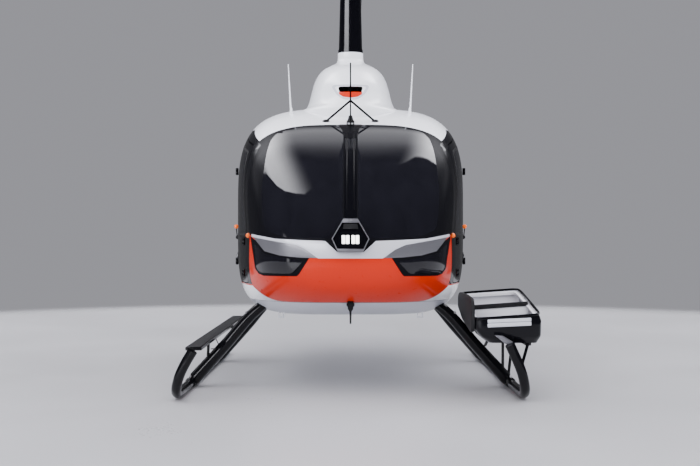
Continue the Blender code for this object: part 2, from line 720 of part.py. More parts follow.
TAIL_STATION = 9.35
TAIL_HEIGHT = 2.14
TAIL_BOX = ((-0.085, 0.085), (BOOM_END + GAP, 9.50), (2.02, 2.26))
keep(box("tail_gearbox", *TAIL_BOX, 0.03), "tail_gearbox", "white")

# fin: height, leading station, chord, thickness over chord
UPPER_FIN = ((2.20, 8.75, 0.74, 0.09), (2.30, 8.80, 0.70, 0.09), (2.75, 9.10, 0.56, 0.10),
             (3.15, 9.36, 0.40, 0.10))
LOWER_FIN = ((2.10, 8.70, 0.42, 0.10), (1.75, 8.92, 0.38, 0.10), (1.45, 9.08, 0.32, 0.10))
TAIL_BOX_CLEARED = [(a - GAP, b + GAP) for a, b in TAIL_BOX]

for name, rows in (("upper_fin", UPPER_FIN), ("lower_fin", LOWER_FIN)):
    rings = [[(up, NOSE_Y + lead + along, z) for along, up in airfoil(chord, thickness)]
             for z, lead, chord, thickness in rows]
    fin = loft("fin", rings)
    cut(fin, boom_core, spend=False)
    cut(fin, box("clear", *TAIL_BOX_CLEARED))
    keep(fin, name, "white" if name == "upper_fin" else "black")

STINGER_START = 9.24
stinger = tube("stinger", [(0, STINGER_START, 1.45 - GAP), (0, STINGER_START, 1.40), (0, 9.29, 1.345),
                           (0, 9.42, 1.31), (0, 9.75, 1.26)], 0.014, 2)
keep(stinger, "tail_skid", "black")

STABILIZER = (7.78, 0.42)
STABILIZER_Z = 2.264
SPAN_HALF = 1.22
rings = [[(x, NOSE_Y + STABILIZER[0] + along, STABILIZER_Z + up)
          for along, up in airfoil(STABILIZER[1], 0.12)]
         for x in (-SPAN_HALF, 0.0, SPAN_HALF)]
stabilizer = loft("stabilizer", rings)
PLATE = [(7.74, 2.17), (7.82, 2.46), (8.10, 2.50), (8.24, 2.46), (8.22, 2.17)]
for sign in (1, -1):
    ends = sorted((sign * (SPAN_HALF - 0.012), sign * (SPAN_HALF + 0.012)))
    join(stabilizer, prism("plate", PLATE, "side", *ends))
cut(stabilizer, boom_core)
keep(stabilizer, "stabilizer", "white")

# Tail rotor on the left of its gearbox, turning about an axis along X

TAIL_HUB = (0.16, 0.22)
TAIL_RADIUS = 0.90
TAIL_AXIS = (0, NOSE_Y + TAIL_STATION, TAIL_HEIGHT)
shaft_in = TAIL_BOX[0][1] + GAP
tail_hub = cylinder("shaft", ((shaft_in + TAIL_HUB[1]) / 2, TAIL_STATION, TAIL_HEIGHT), 0.022,
                    TAIL_HUB[1] - shaft_in, "X")
join(tail_hub, box("yoke", TAIL_HUB, (TAIL_STATION - 0.035, TAIL_STATION + 0.035),
                   (TAIL_HEIGHT - 0.16, TAIL_HEIGHT + 0.16), 0.01))
keep(tail_hub, "tail_rotor_hub", "dark_trim")
for name, sign in (("tail_blade_upper", 1), ("tail_blade_lower", -1)):
    rings = []
    for reach, chord, thickness in ((0.16 + GAP, 0.07, 0.40), (0.24, 0.13, 0.16), (TAIL_RADIUS, 0.13, 0.11)):
        rings.append([(sum(TAIL_HUB) / 2 + up, NOSE_Y + TAIL_STATION + sign * (along - chord * 0.35),
                       TAIL_HEIGHT + sign * reach) for along, up in airfoil(chord, thickness)])
    keep(loft("blade", rings), name, "dark_trim")
for name in ("tail_rotor_hub", "tail_blade_upper", "tail_blade_lower"):
    set_origin(bpy.data.objects[name], TAIL_AXIS)

# Landing gear: two cross tubes and two skids

SKID_PATH = ((3.30, 0.033), (0.35, 0.033), (0.22, 0.040), (0.10, 0.062), (0.00, 0.115), (-0.07, 0.195),
             (-0.13, 0.290), (-0.18, 0.390))
SKID_IN = {0.195: 0.012, 0.290: 0.055, 0.390: 0.140}
LEG_SIDES = 10


def leg_rings(station, grow=0.0):
    points = LEG + tuple((-x, z, thick, chord) for x, z, thick, chord in LEG[-2::-1])
    rings = []
    for i, (x, z, thick, chord) in enumerate(points):
        before = points[max(i - 1, 0)]
        after = points[min(i + 1, len(points) - 1)]
        run = Vector((after[0] - before[0], after[1] - before[1])).normalized()
        if i in (0, len(points) - 1):
            run = Vector((-1, 0))
        across = Vector((-run.y, run.x))
        stretch = 1.25 if i in (0, len(points) - 1) else 1.0
        ring = []
        for k in range(LEG_SIDES):
            turn = 2 * math.pi * k / LEG_SIDES
            offset = (thick * stretch / 2 + grow) * math.cos(turn)
            ring.append((x + across.x * offset, NOSE_Y + station + (chord / 2 + grow) * math.sin(turn),
                         z + across.y * offset))
        rings.append(ring)
    return rings


for side, sign in SIDES.items():
    path = [(sign * (SKID_X - SKID_IN.get(z, 0)), s, z) for s, z in SKID_PATH]
    keep(tube("skid", path, SKID_RADIUS, 4), f"skid_{side}", "black")

skid_cores = [tube("core", [(sign * SKID_X, 3.4, SKID_RADIUS), (sign * SKID_X, 0.2, SKID_RADIUS)],
                   SKID_RADIUS + 0.0008, 4) for sign in (1, -1)]
GROUND = box("ground", (-2, 2), (0, 4), (-0.3, 0.033))
for name, station in LEG_STATIONS.items():
    leg = loft("leg", leg_rings(station))
    cut(leg, *skid_cores, spend=False)
    cut(leg, GROUND, spend=False)
    keep(leg, name, "black")
    sleeve = loft("sleeve", leg_rings(station, GAP))
    for panel in ("belly_pan", "side_frame_left", "side_frame_right"):
        cut(bpy.data.objects[panel], sleeve, spend=False)
    bpy.data.objects.remove(sleeve)

leg_cores = [loft("core", leg_rings(station, GAP)) for station in LEG_STATIONS.values()]

# Right step: a long board on four short posts

STEP_X = (-1.21, -1.09)
STEP_Z = (0.365, 0.40)
step = box("step", STEP_X, (-0.09, 3.05), STEP_Z)
for station in LEG_STATIONS.values():
    for offset in (-0.03, 0.03):
        join(step, tube("post", [(-1.15, station + offset, 0.38), (-1.16, station + offset, 0.18)], 0.012, 2))
cut(step, *leg_cores, spend=False)
keep(step, "step_right", "black")

# Left basket: a tub with a rim, a divided liner and the rails and struts that carry it

BASKET_LOW = 0.43
TUB_SKIN = 0.008
BASKET_POINTS = 20

# height, inner x, outer x, front station, rear station; the last row's height follows the sloping rim
TUB = ((BASKET_LOW, 1.10, 1.37, -0.02, 0.90), (0.50, 1.015, 1.40, -0.07, 0.93),
       (0.60, 0.915, 1.41, -0.10, 0.95), (None, 0.90, 1.41, -0.10, 0.95))


def rim_height(station):
    return 0.66 + 0.076 * (station + 0.10)


def basket_ring(z, inner, outer, front, rear, inset=0.0, lift=0.0):
    ring = []
    for i in range(BASKET_POINTS):
        turn = 2 * math.pi * i / BASKET_POINTS
        x = (inner + outer) / 2 + ((outer - inner) / 2 - inset) * power(math.cos(turn), 0.4)
        station = (front + rear) / 2 + ((rear - front) / 2 - inset) * power(math.sin(turn), 0.4)
        ring.append((x, NOSE_Y + station, (rim_height(station) if z is None else z) + lift))
    return ring


tub = loft("tub", [basket_ring(*row) for row in TUB])
hollow = [basket_ring(*row, inset=1.4 * TUB_SKIN, lift=TUB_SKIN) for row in TUB]
cut(tub, loft("hollow", hollow))
keep(tub, "basket_tub", "black")

RIM_RADIUS = 0.011
rim_lift = 0.87 * RIM_RADIUS + 2 * GAP
rim_path = [(x, y - NOSE_Y, z + rim_lift) for x, y, z in basket_ring(*TUB[-1], inset=TUB_SKIN / 2)]
keep(tube("rim", rim_path, RIM_RADIUS, 1, cyclic=True), "basket_rim", "silver")

LINER_FLOOR = BASKET_LOW + TUB_SKIN + GAP
DIVIDER = [(1.13, LINER_FLOOR + 0.004), (1.345, LINER_FLOOR + 0.004), (1.375, 0.52), (1.385, 0.655),
           (0.935, 0.655), (0.935, 0.63)]
liner = box("liner", (1.14, 1.33), (0.06, 0.82), (LINER_FLOOR, LINER_FLOOR + 0.010))
for station in (0.20, 0.58):
    join(liner, prism("divider", DIVIDER, "front", station - 0.008, station + 0.008))
keep(liner, "basket_liner", "grey_trim", smooth=False)

RAIL = (0.405, BASKET_LOW - GAP)
frame = box("rail", (1.300, 1.345), (0.02, 0.84), RAIL)
join(frame, box("rail", (1.12, 1.310), (0.735, 0.785), RAIL))
for path in (((1.236, 0.76, 0.42), (1.236, 0.76, 0.10)), ((1.322, 0.79, 0.42), (1.284, 0.79, 0.07)),
             ((1.322, 0.06, 0.42), (1.297, 0.05, 0.0885)), ((1.14, 0.76, 0.42), (1.14, 0.76, 0.22))):
    join(frame, tube("strut", path, 0.012, 2))
cut(frame, *leg_cores, spend=False)
front_skid = tube("core", [(SKID_X - SKID_IN.get(z, 0), s, z) for s, z in SKID_PATH], SKID_RADIUS + GAP, 4)
cut(frame, front_skid)
keep(frame, "basket_struts", "black")

# Nose lamp, wire cutters and antennas

LAMP = [(-0.054, 1.352), (0.054, 1.352), (0.142, 1.201), (0.095, 1.102), (-0.095, 1.102), (-0.142, 1.201)]
lamp = prism("lamp", LAMP, "front", -0.05, 0.30)
cut(lamp, hull_core, spend=False)
keep(lamp, "nose_lamp", "black", smooth=False)

BLADE_HALF = 0.006
cutter = prism("cutter", [(0.96, 2.06), (0.90, 2.62), (0.925, 2.66), (0.985, 2.42), (1.12, 2.20),
                          (1.12, 2.06)], "side", -BLADE_HALF, BLADE_HALF)
for sign in (1, -1):
    join(cutter, tube("brace", [(0, 0.962, 2.36), (sign * 0.215, 1.03, 2.10)], 0.009, 2))
cut(cutter, hull_core, spend=False)
keep(cutter, "wire_cutter_upper", "black", smooth=False)

lower = prism("cutter", [(0.17, 0.80), (0.33, 0.80), (0.30, 0.67), (0.27, 0.586), (0.25, 0.546),
                         (0.235, 0.586), (0.19, 0.67)], "side", -0.014, 0.014)
cut(lower, hull_core, spend=False)
keep(lower, "wire_cutter_lower", "black", smooth=False)

for side, sign in SIDES.items():
    whip = tube("whip", [(sign * 0.540, 1.40, 2.20), (sign * 0.570, 1.40, 2.749)], 0.006, 2)
    join(whip, tube("base", [(sign * 0.540, 1.40, 2.20), (sign * 0.545, 1.40, 2.33)], 0.022, 3))
    cut(whip, hull_core, spend=False)
    keep(whip, f"antenna_{side}", "white")

for helper in list(cutters.objects):
    bpy.data.objects.remove(helper)
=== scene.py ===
import math
import bpy
import numpy as np
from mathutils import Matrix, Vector


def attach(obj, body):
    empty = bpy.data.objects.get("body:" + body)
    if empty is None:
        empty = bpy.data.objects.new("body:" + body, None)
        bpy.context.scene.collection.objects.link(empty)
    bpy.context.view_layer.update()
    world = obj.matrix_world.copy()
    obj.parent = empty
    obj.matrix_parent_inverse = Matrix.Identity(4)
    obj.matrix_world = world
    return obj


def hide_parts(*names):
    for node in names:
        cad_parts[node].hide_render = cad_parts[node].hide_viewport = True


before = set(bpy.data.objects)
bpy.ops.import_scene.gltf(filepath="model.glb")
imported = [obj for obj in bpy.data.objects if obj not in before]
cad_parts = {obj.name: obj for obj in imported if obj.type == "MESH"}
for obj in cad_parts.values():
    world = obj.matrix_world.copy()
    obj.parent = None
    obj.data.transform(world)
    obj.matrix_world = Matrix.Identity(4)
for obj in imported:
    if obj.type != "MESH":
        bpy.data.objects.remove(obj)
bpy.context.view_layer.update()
print("frame:", len(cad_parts), "nodes")

# Metres, +Z up, nose toward -Y. A place is (x, station, z), with the station measured aft from the nose tip.
noseY = -3.0
origin = (0, -noseY, 0)
photo = {"width": 700, "height": 466, "focal": 1091, "column": 350.5, "horizon": 237.5,
         "eye": (0.0, -11.1, 1.21)}


# Small modelling tools

def pick(*objs):
    bpy.ops.object.select_all(action="DESELECT")
    for obj in objs:
        obj.select_set(True)
    bpy.context.view_layer.objects.active = objs[0]
    return objs[0]


def edit(obj, how="SELECT"):
    pick(obj)
    bpy.ops.object.mode_set(mode="EDIT")
    bpy.ops.mesh.select_all(action=how)


def leaveEdit():
    bpy.ops.object.mode_set(mode="OBJECT")


def modify(obj, kind, **settings):
    pick(obj)
    modifier = obj.modifiers.new(kind.title(), kind)
    for key, value in settings.items():
        setattr(modifier, key, value)
    bpy.ops.object.modifier_apply(modifier=modifier.name)
    return obj


def settle(obj, name):
    obj.name = obj.data.name = name
    pick(obj)
    bpy.ops.object.transform_apply(location=True, rotation=True, scale=True)
    return obj


def tidyNormals(obj, merge=0.00002):
    edit(obj)
    bpy.ops.mesh.remove_doubles(threshold=merge)
    bpy.ops.mesh.normals_make_consistent(inside=False)
    leaveEdit()
    return obj


def smooth(obj, angle=35):
    pick(obj)
    bpy.ops.object.shade_smooth_by_angle(angle=math.radians(angle))
    return obj


def soften(obj, width, segments=2, angle=35):
    return modify(obj, "BEVEL", width=width, segments=segments, limit_method="ANGLE",
                  angle_limit=math.radians(angle))


def carve(obj, tool, how="DIFFERENCE", spend=True):
    modify(obj, "BOOLEAN", operation=how, solver="MANIFOLD", object=tool)
    if spend:
        bpy.data.objects.remove(tool)
    return obj


def twin(obj, name):
    pick(obj)
    bpy.ops.object.duplicate()
    made = bpy.context.object
    made.name = made.data.name = name
    return made


def mirrorOf(obj):
    made = twin(obj, "mirrored")
    made.scale.x = -1
    settle(made, "mirrored")
    edit(made)
    bpy.ops.mesh.flip_normals()
    leaveEdit()
    return made


def fuse(name, objs):
    pick(*objs)
    if len(objs) > 1:
        bpy.ops.object.join()
    made = bpy.context.object
    made.name = made.data.name = name
    return made


def raised(obj, lift):
    # moved outwards along its own normals
    return modify(obj, "DISPLACE", strength=lift, mid_level=0.0)


def atStation(x, station, z):
    return (x, noseY + station, z)


def block(size, spot, fillet=0.0, segments=2, turn=(0, 0, 0)):
    bpy.ops.object.select_all(action="DESELECT")
    bpy.ops.mesh.primitive_cube_add(size=1, location=atStation(*spot), rotation=turn)
    obj = bpy.context.object
    obj.scale = size
    settle(obj, "block")
    return soften(obj, fillet, segments) if fillet else obj


def drum(radius, depth, spot, axis="Z", sides=32, fillet=0.0, top=None):
    turn = {"X": (0, math.pi / 2, 0), "Y": (math.pi / 2, 0, 0), "Z": (0, 0, 0)}[axis]
    bpy.ops.object.select_all(action="DESELECT")
    bpy.ops.mesh.primitive_cone_add(vertices=sides, radius1=radius, radius2=radius if top is None else top,
                                    depth=depth, location=atStation(*spot), rotation=turn)
    obj = settle(bpy.context.object, "drum")
    return soften(obj, fillet) if fillet else obj


def ball(radius, spot, stretch=(1, 1, 1)):
    bpy.ops.object.select_all(action="DESELECT")
    bpy.ops.mesh.primitive_uv_sphere_add(segments=20, ring_count=12, radius=radius, location=atStation(*spot))
    bpy.context.object.scale = stretch
    return settle(bpy.context.object, "ball")


def spun(profile, spot):
    # a profile of (radius, height) turned about a vertical axis
    bpy.ops.object.select_all(action="DESELECT")
    bpy.ops.mesh.primitive_circle_add(vertices=len(profile), fill_type="NOTHING", location=(0, 0, 0))
    obj = bpy.context.object
    for vertex, (radius, height) in zip(obj.data.vertices, profile):
        vertex.co = (radius, 0, height)
    edit(obj)
    bpy.ops.mesh.spin(steps=40, angle=2 * math.pi, center=(0, 0, 0), axis=(0, 0, 1))
    leaveEdit()
    tidyNormals(obj, 0.00005)
    obj.location = atStation(*spot)
    return settle(obj, "spun")


def slab(outline, plane, low, high):
    # a flat outline given depth: side is (station, z) and front is (x, z)
    bpy.ops.object.select_all(action="DESELECT")
    bpy.ops.mesh.primitive_circle_add(vertices=len(outline), fill_type="NGON")
    obj = bpy.context.object
    for vertex, (a, z) in zip(obj.data.vertices, outline):
        vertex.co = atStation(low, a, z) if plane == "side" else atStation(a, low, z)
    run = Vector((1, 0, 0) if plane == "side" else (0, 1, 0))
    edit(obj)
    bpy.ops.mesh.extrude_region_move(TRANSFORM_OT_translate={"value": run * (high - low)})
    bpy.ops.mesh.select_all(action="SELECT")
    bpy.ops.mesh.normals_make_consistent(inside=False)
    leaveEdit()
    return obj


def plate(outline, plane, low, high, fillet, segments=2):
    return soften(slab(outline, plane, low, high), fillet, segments)


def wrap(across, along, spot):
    # a grid laid over a closed surface: spot(u, v) gives each point, and the open ends are capped
    bpy.ops.object.select_all(action="DESELECT")
    bpy.ops.mesh.primitive_grid_add(x_subdivisions=across, y_subdivisions=along, size=2)
    obj = bpy.context.object
    for vertex in obj.data.vertices:
        vertex.co = atStation(*spot((vertex.co.x + 1) / 2, (vertex.co.y + 1) / 2))
    edit(obj)
    bpy.ops.mesh.remove_doubles(threshold=0.00001)
    bpy.ops.mesh.select_all(action="DESELECT")
    bpy.ops.mesh.select_non_manifold()
    bpy.ops.mesh.fill_holes(sides=0)
    bpy.ops.mesh.select_all(action="SELECT")
    bpy.ops.mesh.normals_make_consistent(inside=False)
    leaveEdit()
    return obj


def rod(points, radius, sides=12, eased=False, cyclic=False):
    # a round bar through its points
    curve = bpy.data.curves.new("rod", "CURVE")
    curve.dimensions = "3D"
    curve.bevel_depth = radius
    curve.bevel_resolution = sides // 4
    curve.use_fill_caps = True
    line = curve.splines.new("BEZIER" if eased else "POLY")
    marks = line.bezier_points if eased else line.points
    marks.add(len(points) - 1)
    for mark, point in zip(marks, points):
        mark.co = atStation(*point) if eased else (*atStation(*point), 1)
        if eased:
            mark.handle_left_type = mark.handle_right_type = "AUTO"
    line.use_cyclic_u = cyclic
    obj = bpy.data.objects.new("rod", curve)
    bpy.context.scene.collection.objects.link(obj)
    pick(obj)
    bpy.ops.object.convert(target="MESH")
    return tidyNormals(bpy.context.object)


def shrink(outline, by):
    area = sum(a[0] * b[1] - b[0] * a[1] for a, b in zip(outline, outline[1:] + outline[:1]))
    sign = 1 if area > 0 else -1
    moved = []
    for before, here, after in zip(outline[-1:] + outline[:-1], outline, outline[1:] + outline[:1]):
        first = Vector(here) - Vector(before)
        second = Vector(after) - Vector(here)
        n1 = Vector((-first.y, first.x)).normalized() * sign
        n2 = Vector((-second.y, second.x)).normalized() * sign
        moved.append(tuple(Vector(here) + (n1 + n2) / (1 + n1.dot(n2)) * by))
    return moved


def rounded(outline, radius, steps=6):
    found = []
    for before, here, after in zip(outline[-1:] + outline[:-1], outline, outline[1:] + outline[:1]):
        here = Vector(here)
        back = Vector(before) - here
        on = Vector(after) - here
        reach = min(radius, back.length / 2.2, on.length / 2.2)
        start = here + back.normalized() * reach
        end = here + on.normalized() * reach
        for i in range(steps + 1):
            t = i / steps
            found.append(tuple(start * (1 - t)**2 + here * 2 * t * (1 - t) + end * t**2))
    return found


def mirrored(outline):
    return [(-x, z) for x, z in outline][::-1]


def power(value, exponent):
    return math.copysign(abs(value) ** exponent, value)


def slopes(xs, ys):
    steps = np.diff(xs)
    rises = np.diff(ys) / steps
    found = np.zeros(len(xs))
    found[0], found[-1] = rises[0], rises[-1]
    for i in range(1, len(xs) - 1):
        if rises[i - 1] * rises[i] > 0:
            before = 2 * steps[i] + steps[i - 1]
            after = steps[i] + 2 * steps[i - 1]
            found[i] = (before + after) / (before / rises[i - 1] + after / rises[i])
    return found


def blender(table, key=lambda value: value):
    # a monotone cubic through the rows of a table, by its first column
    rows = np.array(table, float)
    xs = np.array([key(value) for value in rows[:, 0]])
    grades = np.array([slopes(xs, rows[:, c]) for c in range(1, rows.shape[1])]).T

    def at(value):
        x = key(value)
        i = int(np.clip(np.searchsorted(xs, x) - 1, 0, len(xs) - 2))
        width = xs[i + 1] - xs[i]
        t = (x - xs[i]) / width
        return (rows[i, 1:] * (2 * t**3 - 3 * t**2 + 1) + rows[i + 1, 1:] * (3 * t**2 - 2 * t**3)
                + width * (grades[i] * (t**3 - 2 * t**2 + t) + grades[i + 1] * (t**3 - t**2)))
    return at


# Materials

class Wire:
    # a socket in a material's tree: sums and products on it add Math nodes
    def __init__(self, tree, socket):
        self.tree = tree
        self.socket = socket

    def node(self, kind, settings=None, inputs=None, out=0):
        made = self.tree.nodes.new("ShaderNode" + kind)
        for key, value in (settings or {}).items():
            if key == "stops":
                while len(made.color_ramp.elements) < len(value):
                    made.color_ramp.elements.new(1.0)
                for element, (stop, colour) in zip(made.color_ramp.elements, value):
                    element.position = stop
                    element.color = colour
            else:
                setattr(made, key, value)
        for key, value in (inputs or {}).items():
            if isinstance(value, Wire):
                self.tree.links.new(value.socket, made.inputs[key])
            else:
                made.inputs[key].default_value = value
        return Wire(self.tree, made.outputs[out])

    def math(self, operation, *others):
        return self.node("Math", {"operation": operation}, dict(enumerate((self,) + others)))

    def __add__(self, other):
        return self.math("ADD", other)

    __radd__ = __add__

    def __sub__(self, other):
        return self.math("SUBTRACT", other)

    def __rsub__(self, other):
        return self.node("Math", {"operation": "SUBTRACT"}, {0: other, 1: self})

    def __mul__(self, other):
        return self.math("MULTIPLY", other)

    __rmul__ = __mul__

    def __abs__(self):
        return self.math("ABSOLUTE")

    def split(self):
        parts = self.node("SeparateXYZ", None, {0: self})
        outs = parts.socket.node.outputs
        return [Wire(self.tree, outs[i]) for i in range(3)]

    def noise(self, scale, detail=3, rough=0.5):
        return self.node("TexNoise", None,
                         {"Vector": self, "Scale": scale, "Detail": detail, "Roughness": rough})

    def stretched(self, factors):
        return self.node("VectorMath", {"operation": "MULTIPLY"}, {0: self, 1: factors})

    def ease(self, low, high):
        # 0 below low, 1 above high
        return self.node("MapRange", {"interpolation_type": "SMOOTHSTEP"},
                         {"Value": self, "From Min": low, "From Max": high})

    def blend(self, first, second):
        # a colour mix, with this wire as the factor
        return self.node("Mix", {"data_type": "RGBA"}, {0: self, 6: first, 7: second}, out=2)

    def bump(self, strength, distance):
        return self.node("Bump", None, {"Height": self, "Strength": strength, "Distance": distance})


materials = {}


def finish(name, make, **constants):
    # make(point) gives the varying inputs of the shader; the constants are set on its own sockets
    material = bpy.data.materials.new(name)
    material.use_nodes = True
    tree = material.node_tree
    shader = tree.nodes["Principled BSDF"]
    point = Wire(tree, tree.nodes.new("ShaderNodeTexCoord").outputs["Object"])
    for key, value in {**constants, **make(point)}.items():
        if isinstance(value, Wire):
            tree.links.new(value.socket, shader.inputs[key])
        else:
            shader.inputs[key].default_value = value
    materials[name] = material


colours = {
    "white": (0.93, 0.945, 0.985),
    # a grey that stands for shade: painted shade on the belly, the middle of the nose's lower edge and round
    # the intake
    "shade": (0.60, 0.62, 0.69),
    "black": (0.003, 0.003, 0.0045),
    "orange": (0.58, 0.017, 0.0),
    "lampLens": (1.0, 0.99, 0.95),
    "orangeLens": (1.0, 0.16, 0.01),
    "redLens": (0.75, 0.02, 0.01),
    "greenLens": (0.02, 0.45, 0.12),
}
coat = {"Coat Weight": 0.35, "Coat Roughness": 0.06, "Specular IOR Level": 0.35}
darkCoat = {"Coat Weight": 0.12, "Coat Roughness": 0.05, "Specular IOR Level": 0.14}
orangeCoat = {"Coat Weight": 0.15, "Coat Roughness": 0.06, "Specular IOR Level": 0.18}
dust = (31, 4, 0.65)
peel = (420, 1)


def tone(name, scale=1.0):
    red, green, blue = colours[name]
    return (red * scale, green * scale, blue * scale, 1.0)


def glossy(colour, rough, drift):
    # sprayed gloss: a slow drift of tone, dust in the clear coat and a faint orange-peel texture
    def make(point):
        cloud = point.noise(1.7, 3)
        return {"Base Color": cloud.blend(tone(colour, 1 - drift), tone(colour, 1 + drift)),
                "Roughness": rough - 0.03 + point.noise(*dust) * 0.06 + cloud * 0.03,
                "Normal": point.noise(*peel).bump(0.05, 0.0004)}
    return make


def nosePaint(point):
    # orange, with the white of the belly sweeping up round its lower corners and turning greyer in the middle
    # as painted shade under the nose
    x, y, z = point.split()
    side = abs(x)
    corner = (side - 0.52).math("MAXIMUM", 0.0)
    belly = 1 - (z - (0.712 + corner * corner * 1.75)).ease(-0.001, 0.001)
    orange = point.noise(2.1, 3).blend(tone("orange", 0.94), tone("orange", 1.04))
    # painted shade: the colour below the orange goes from white at the sides to grey in the middle
    below = side.ease(0.45, 0.85).blend(tone("shade"), tone("white"))
    return {"Base Color": belly.blend(orange, below), "Roughness": 0.25 + point.noise(*dust) * 0.07,
            "Normal": point.noise(*peel).bump(0.05, 0.0004)}


def sidePaint(point):
    # black above the sill and white below it, with a thin orange line between
    z = point.split()[2]
    line = z.ease(0.828, 0.829) - z.ease(0.838, 0.839)
    dark = point.noise(1.7, 3).blend(tone("black", 0.8), tone("black", 1.3))
    split = (1 - z.ease(0.828, 0.830)).blend(dark, tone("white"))
    return {"Base Color": line.blend(split, tone("orange")), "Roughness": 0.10 + point.noise(*dust) * 0.07,
            "Normal": point.noise(*peel).bump(0.05, 0.0004)}


def tinted(point):
    smear = point.stretched((1.0, 1.0, 0.35)).noise(9, 4, 0.6)
    speck = point.noise(240, 2).ease(0.68, 0.74)
    return {"Base Color": smear.blend((0.004, 0.004, 0.006, 1), (0.010, 0.010, 0.014, 1)),
            "Roughness": 0.015 + smear * 0.03 + speck * 0.05, "Alpha": 0.90 + smear * 0.06}


def tubePaint(point):
    # black enamel on steel tube: scuffed to grey metal where boots and the floor rub it
    z = point.split()[2]
    scratch = point.stretched((1.0, 0.25, 1.0)).noise(140, 5, 0.75)
    patch = point.noise(6, 3)
    rub = (scratch + patch * 0.5 + (1 - z.ease(0.0, 0.05)) * 0.22).ease(0.98, 1.06)
    return {"Base Color": rub.blend((0.003, 0.003, 0.004, 1), (0.10, 0.10, 0.10, 1)),
            "Roughness": 0.13 + patch * 0.10 + rub * 0.3, "Metallic": rub * 0.7,
            "Normal": scratch.bump(0.06, 0.0004)}


def cast(point):
    oil = point.noise(5, 4, 0.6).ease(0.5, 0.72)
    return {"Base Color": oil.blend((0.30, 0.30, 0.31, 1), (0.10, 0.09, 0.075, 1)),
            "Roughness": 0.55 - oil * 0.22, "Normal": point.noise(190, 3).bump(0.25, 0.0008)}


def heated(point):
    # the pipe turns from grey to brown towards its end
    cloud = point.noise(6, 4, 0.6)
    metal = point.split()[1].ease(0.9, 1.6).blend((0.26, 0.24, 0.23, 1), (0.11, 0.075, 0.055, 1))
    return {"Base Color": cloud.ease(0.35, 0.7).blend(metal, (0.17, 0.13, 0.12, 1)),
            "Roughness": 0.34 + cloud * 0.25, "Normal": point.noise(60, 3).bump(0.08, 0.0005)}


def rotorPaint(point):
    streak = point.stretched((1.0, 0.06, 1.0)).noise(60, 4, 0.7)
    chip = point.noise(300, 3).ease(0.70, 0.76)
    return {"Base Color": streak.blend((0.020, 0.020, 0.022, 1), (0.036, 0.036, 0.040, 1)),
            "Roughness": 0.34 + streak * 0.18 + chip * 0.1, "Normal": streak.bump(0.05, 0.0004)}


def hide(point):
    # leather: pebbled grain and soft creases, with the colour darkened in their hollows as painted shade
    pebble = point.node("TexVoronoi", {"feature": "DISTANCE_TO_EDGE"}, {"Vector": point, "Scale": 330})
    creaseAndPaintedShade = point.noise(16, 5, 0.62)
    height = pebble.ease(0.0, 0.16) * 0.5 + creaseAndPaintedShade
    # painted shade: the colour is darker where the creases are low
    return {"Base Color": creaseAndPaintedShade.blend((0.030, 0.027, 0.025, 1), (0.075, 0.068, 0.062, 1)),
            "Roughness": 0.42 + creaseAndPaintedShade * 0.16, "Normal": height.bump(0.25, 0.0012)}


def tread(point):
    # abrasive strips across the step
    bands = (point.split()[1] * 28.0).math("FRACT").ease(0.25, 0.32)
    return {"Base Color": bands.blend((0.010, 0.010, 0.011, 1), (0.030, 0.030, 0.032, 1)),
            "Roughness": 0.45 + bands * 0.4, "Normal": (point.noise(1300, 2) * bands).bump(0.6, 0.0012)}


def lens(name, strength):
    def make(point):
        ribs = point.stretched((1.0, 0.0, 1.0)).noise(160, 1)
        return {"Base Color": ribs.blend(tone(name, 0.85), tone(name)), "Roughness": 0.06 + ribs * 0.06,
                "Emission Color": ribs.blend(tone(name, 0.8), tone(name)), "Normal": ribs.bump(0.2, 0.001)}
    finish(name, make, **{"Emission Strength": strength})


def grained(name, first, second, cloud, rough, grain=None, relief=None, stretch=None, **constants):
    # two tones mixed by a noise, with a finer grain in the roughness and the relief
    def make(point):
        fine = (point.stretched(stretch) if stretch else point).noise(*(grain or cloud))
        broad = point.noise(*cloud) if grain else fine
        found = {"Base Color": broad.blend((*first, 1), (*second, 1)),
                 "Roughness": rough[0] + fine * rough[1]}
        if relief:
            found["Normal"] = fine.bump(*relief)
        return found
    finish(name, make, **constants)


# finish, tone, roughness, drift of tone, clear coat
for name, look, rough, drift, layer in (("whitePaint", "white", 0.28, 0.03, coat),
                                        ("blackPaint", "black", 0.12, 0.2, darkCoat),
                                        # grey gloss for painted shade
                                        ("shadedPaint", "shade", 0.34, 0.04, coat),
                                        ("orangePaint", "orange", 0.30, 0.05, orangeCoat)):
    finish(name, glossy(look, rough, drift), **layer)
finish("nosePaint", nosePaint, **orangeCoat)
finish("sidePaint", sidePaint, **darkCoat)
finish("tubePaint", tubePaint, **darkCoat)
finish("tintedGlass", tinted, IOR=1.5)
finish("castAlloy", cast, Metallic=0.85)
finish("heatedSteel", heated, Metallic=1.0)
finish("rotorPaint", rotorPaint, **{"Specular IOR Level": 0.25})
finish("leather", hide)
finish("stepTread", tread, **{"Specular IOR Level": 0.1})
for name, strength in (("lampLens", 5.0), ("orangeLens", 0.35), ("redLens", 0.2), ("greenLens", 0.2)):
    lens(name, strength)
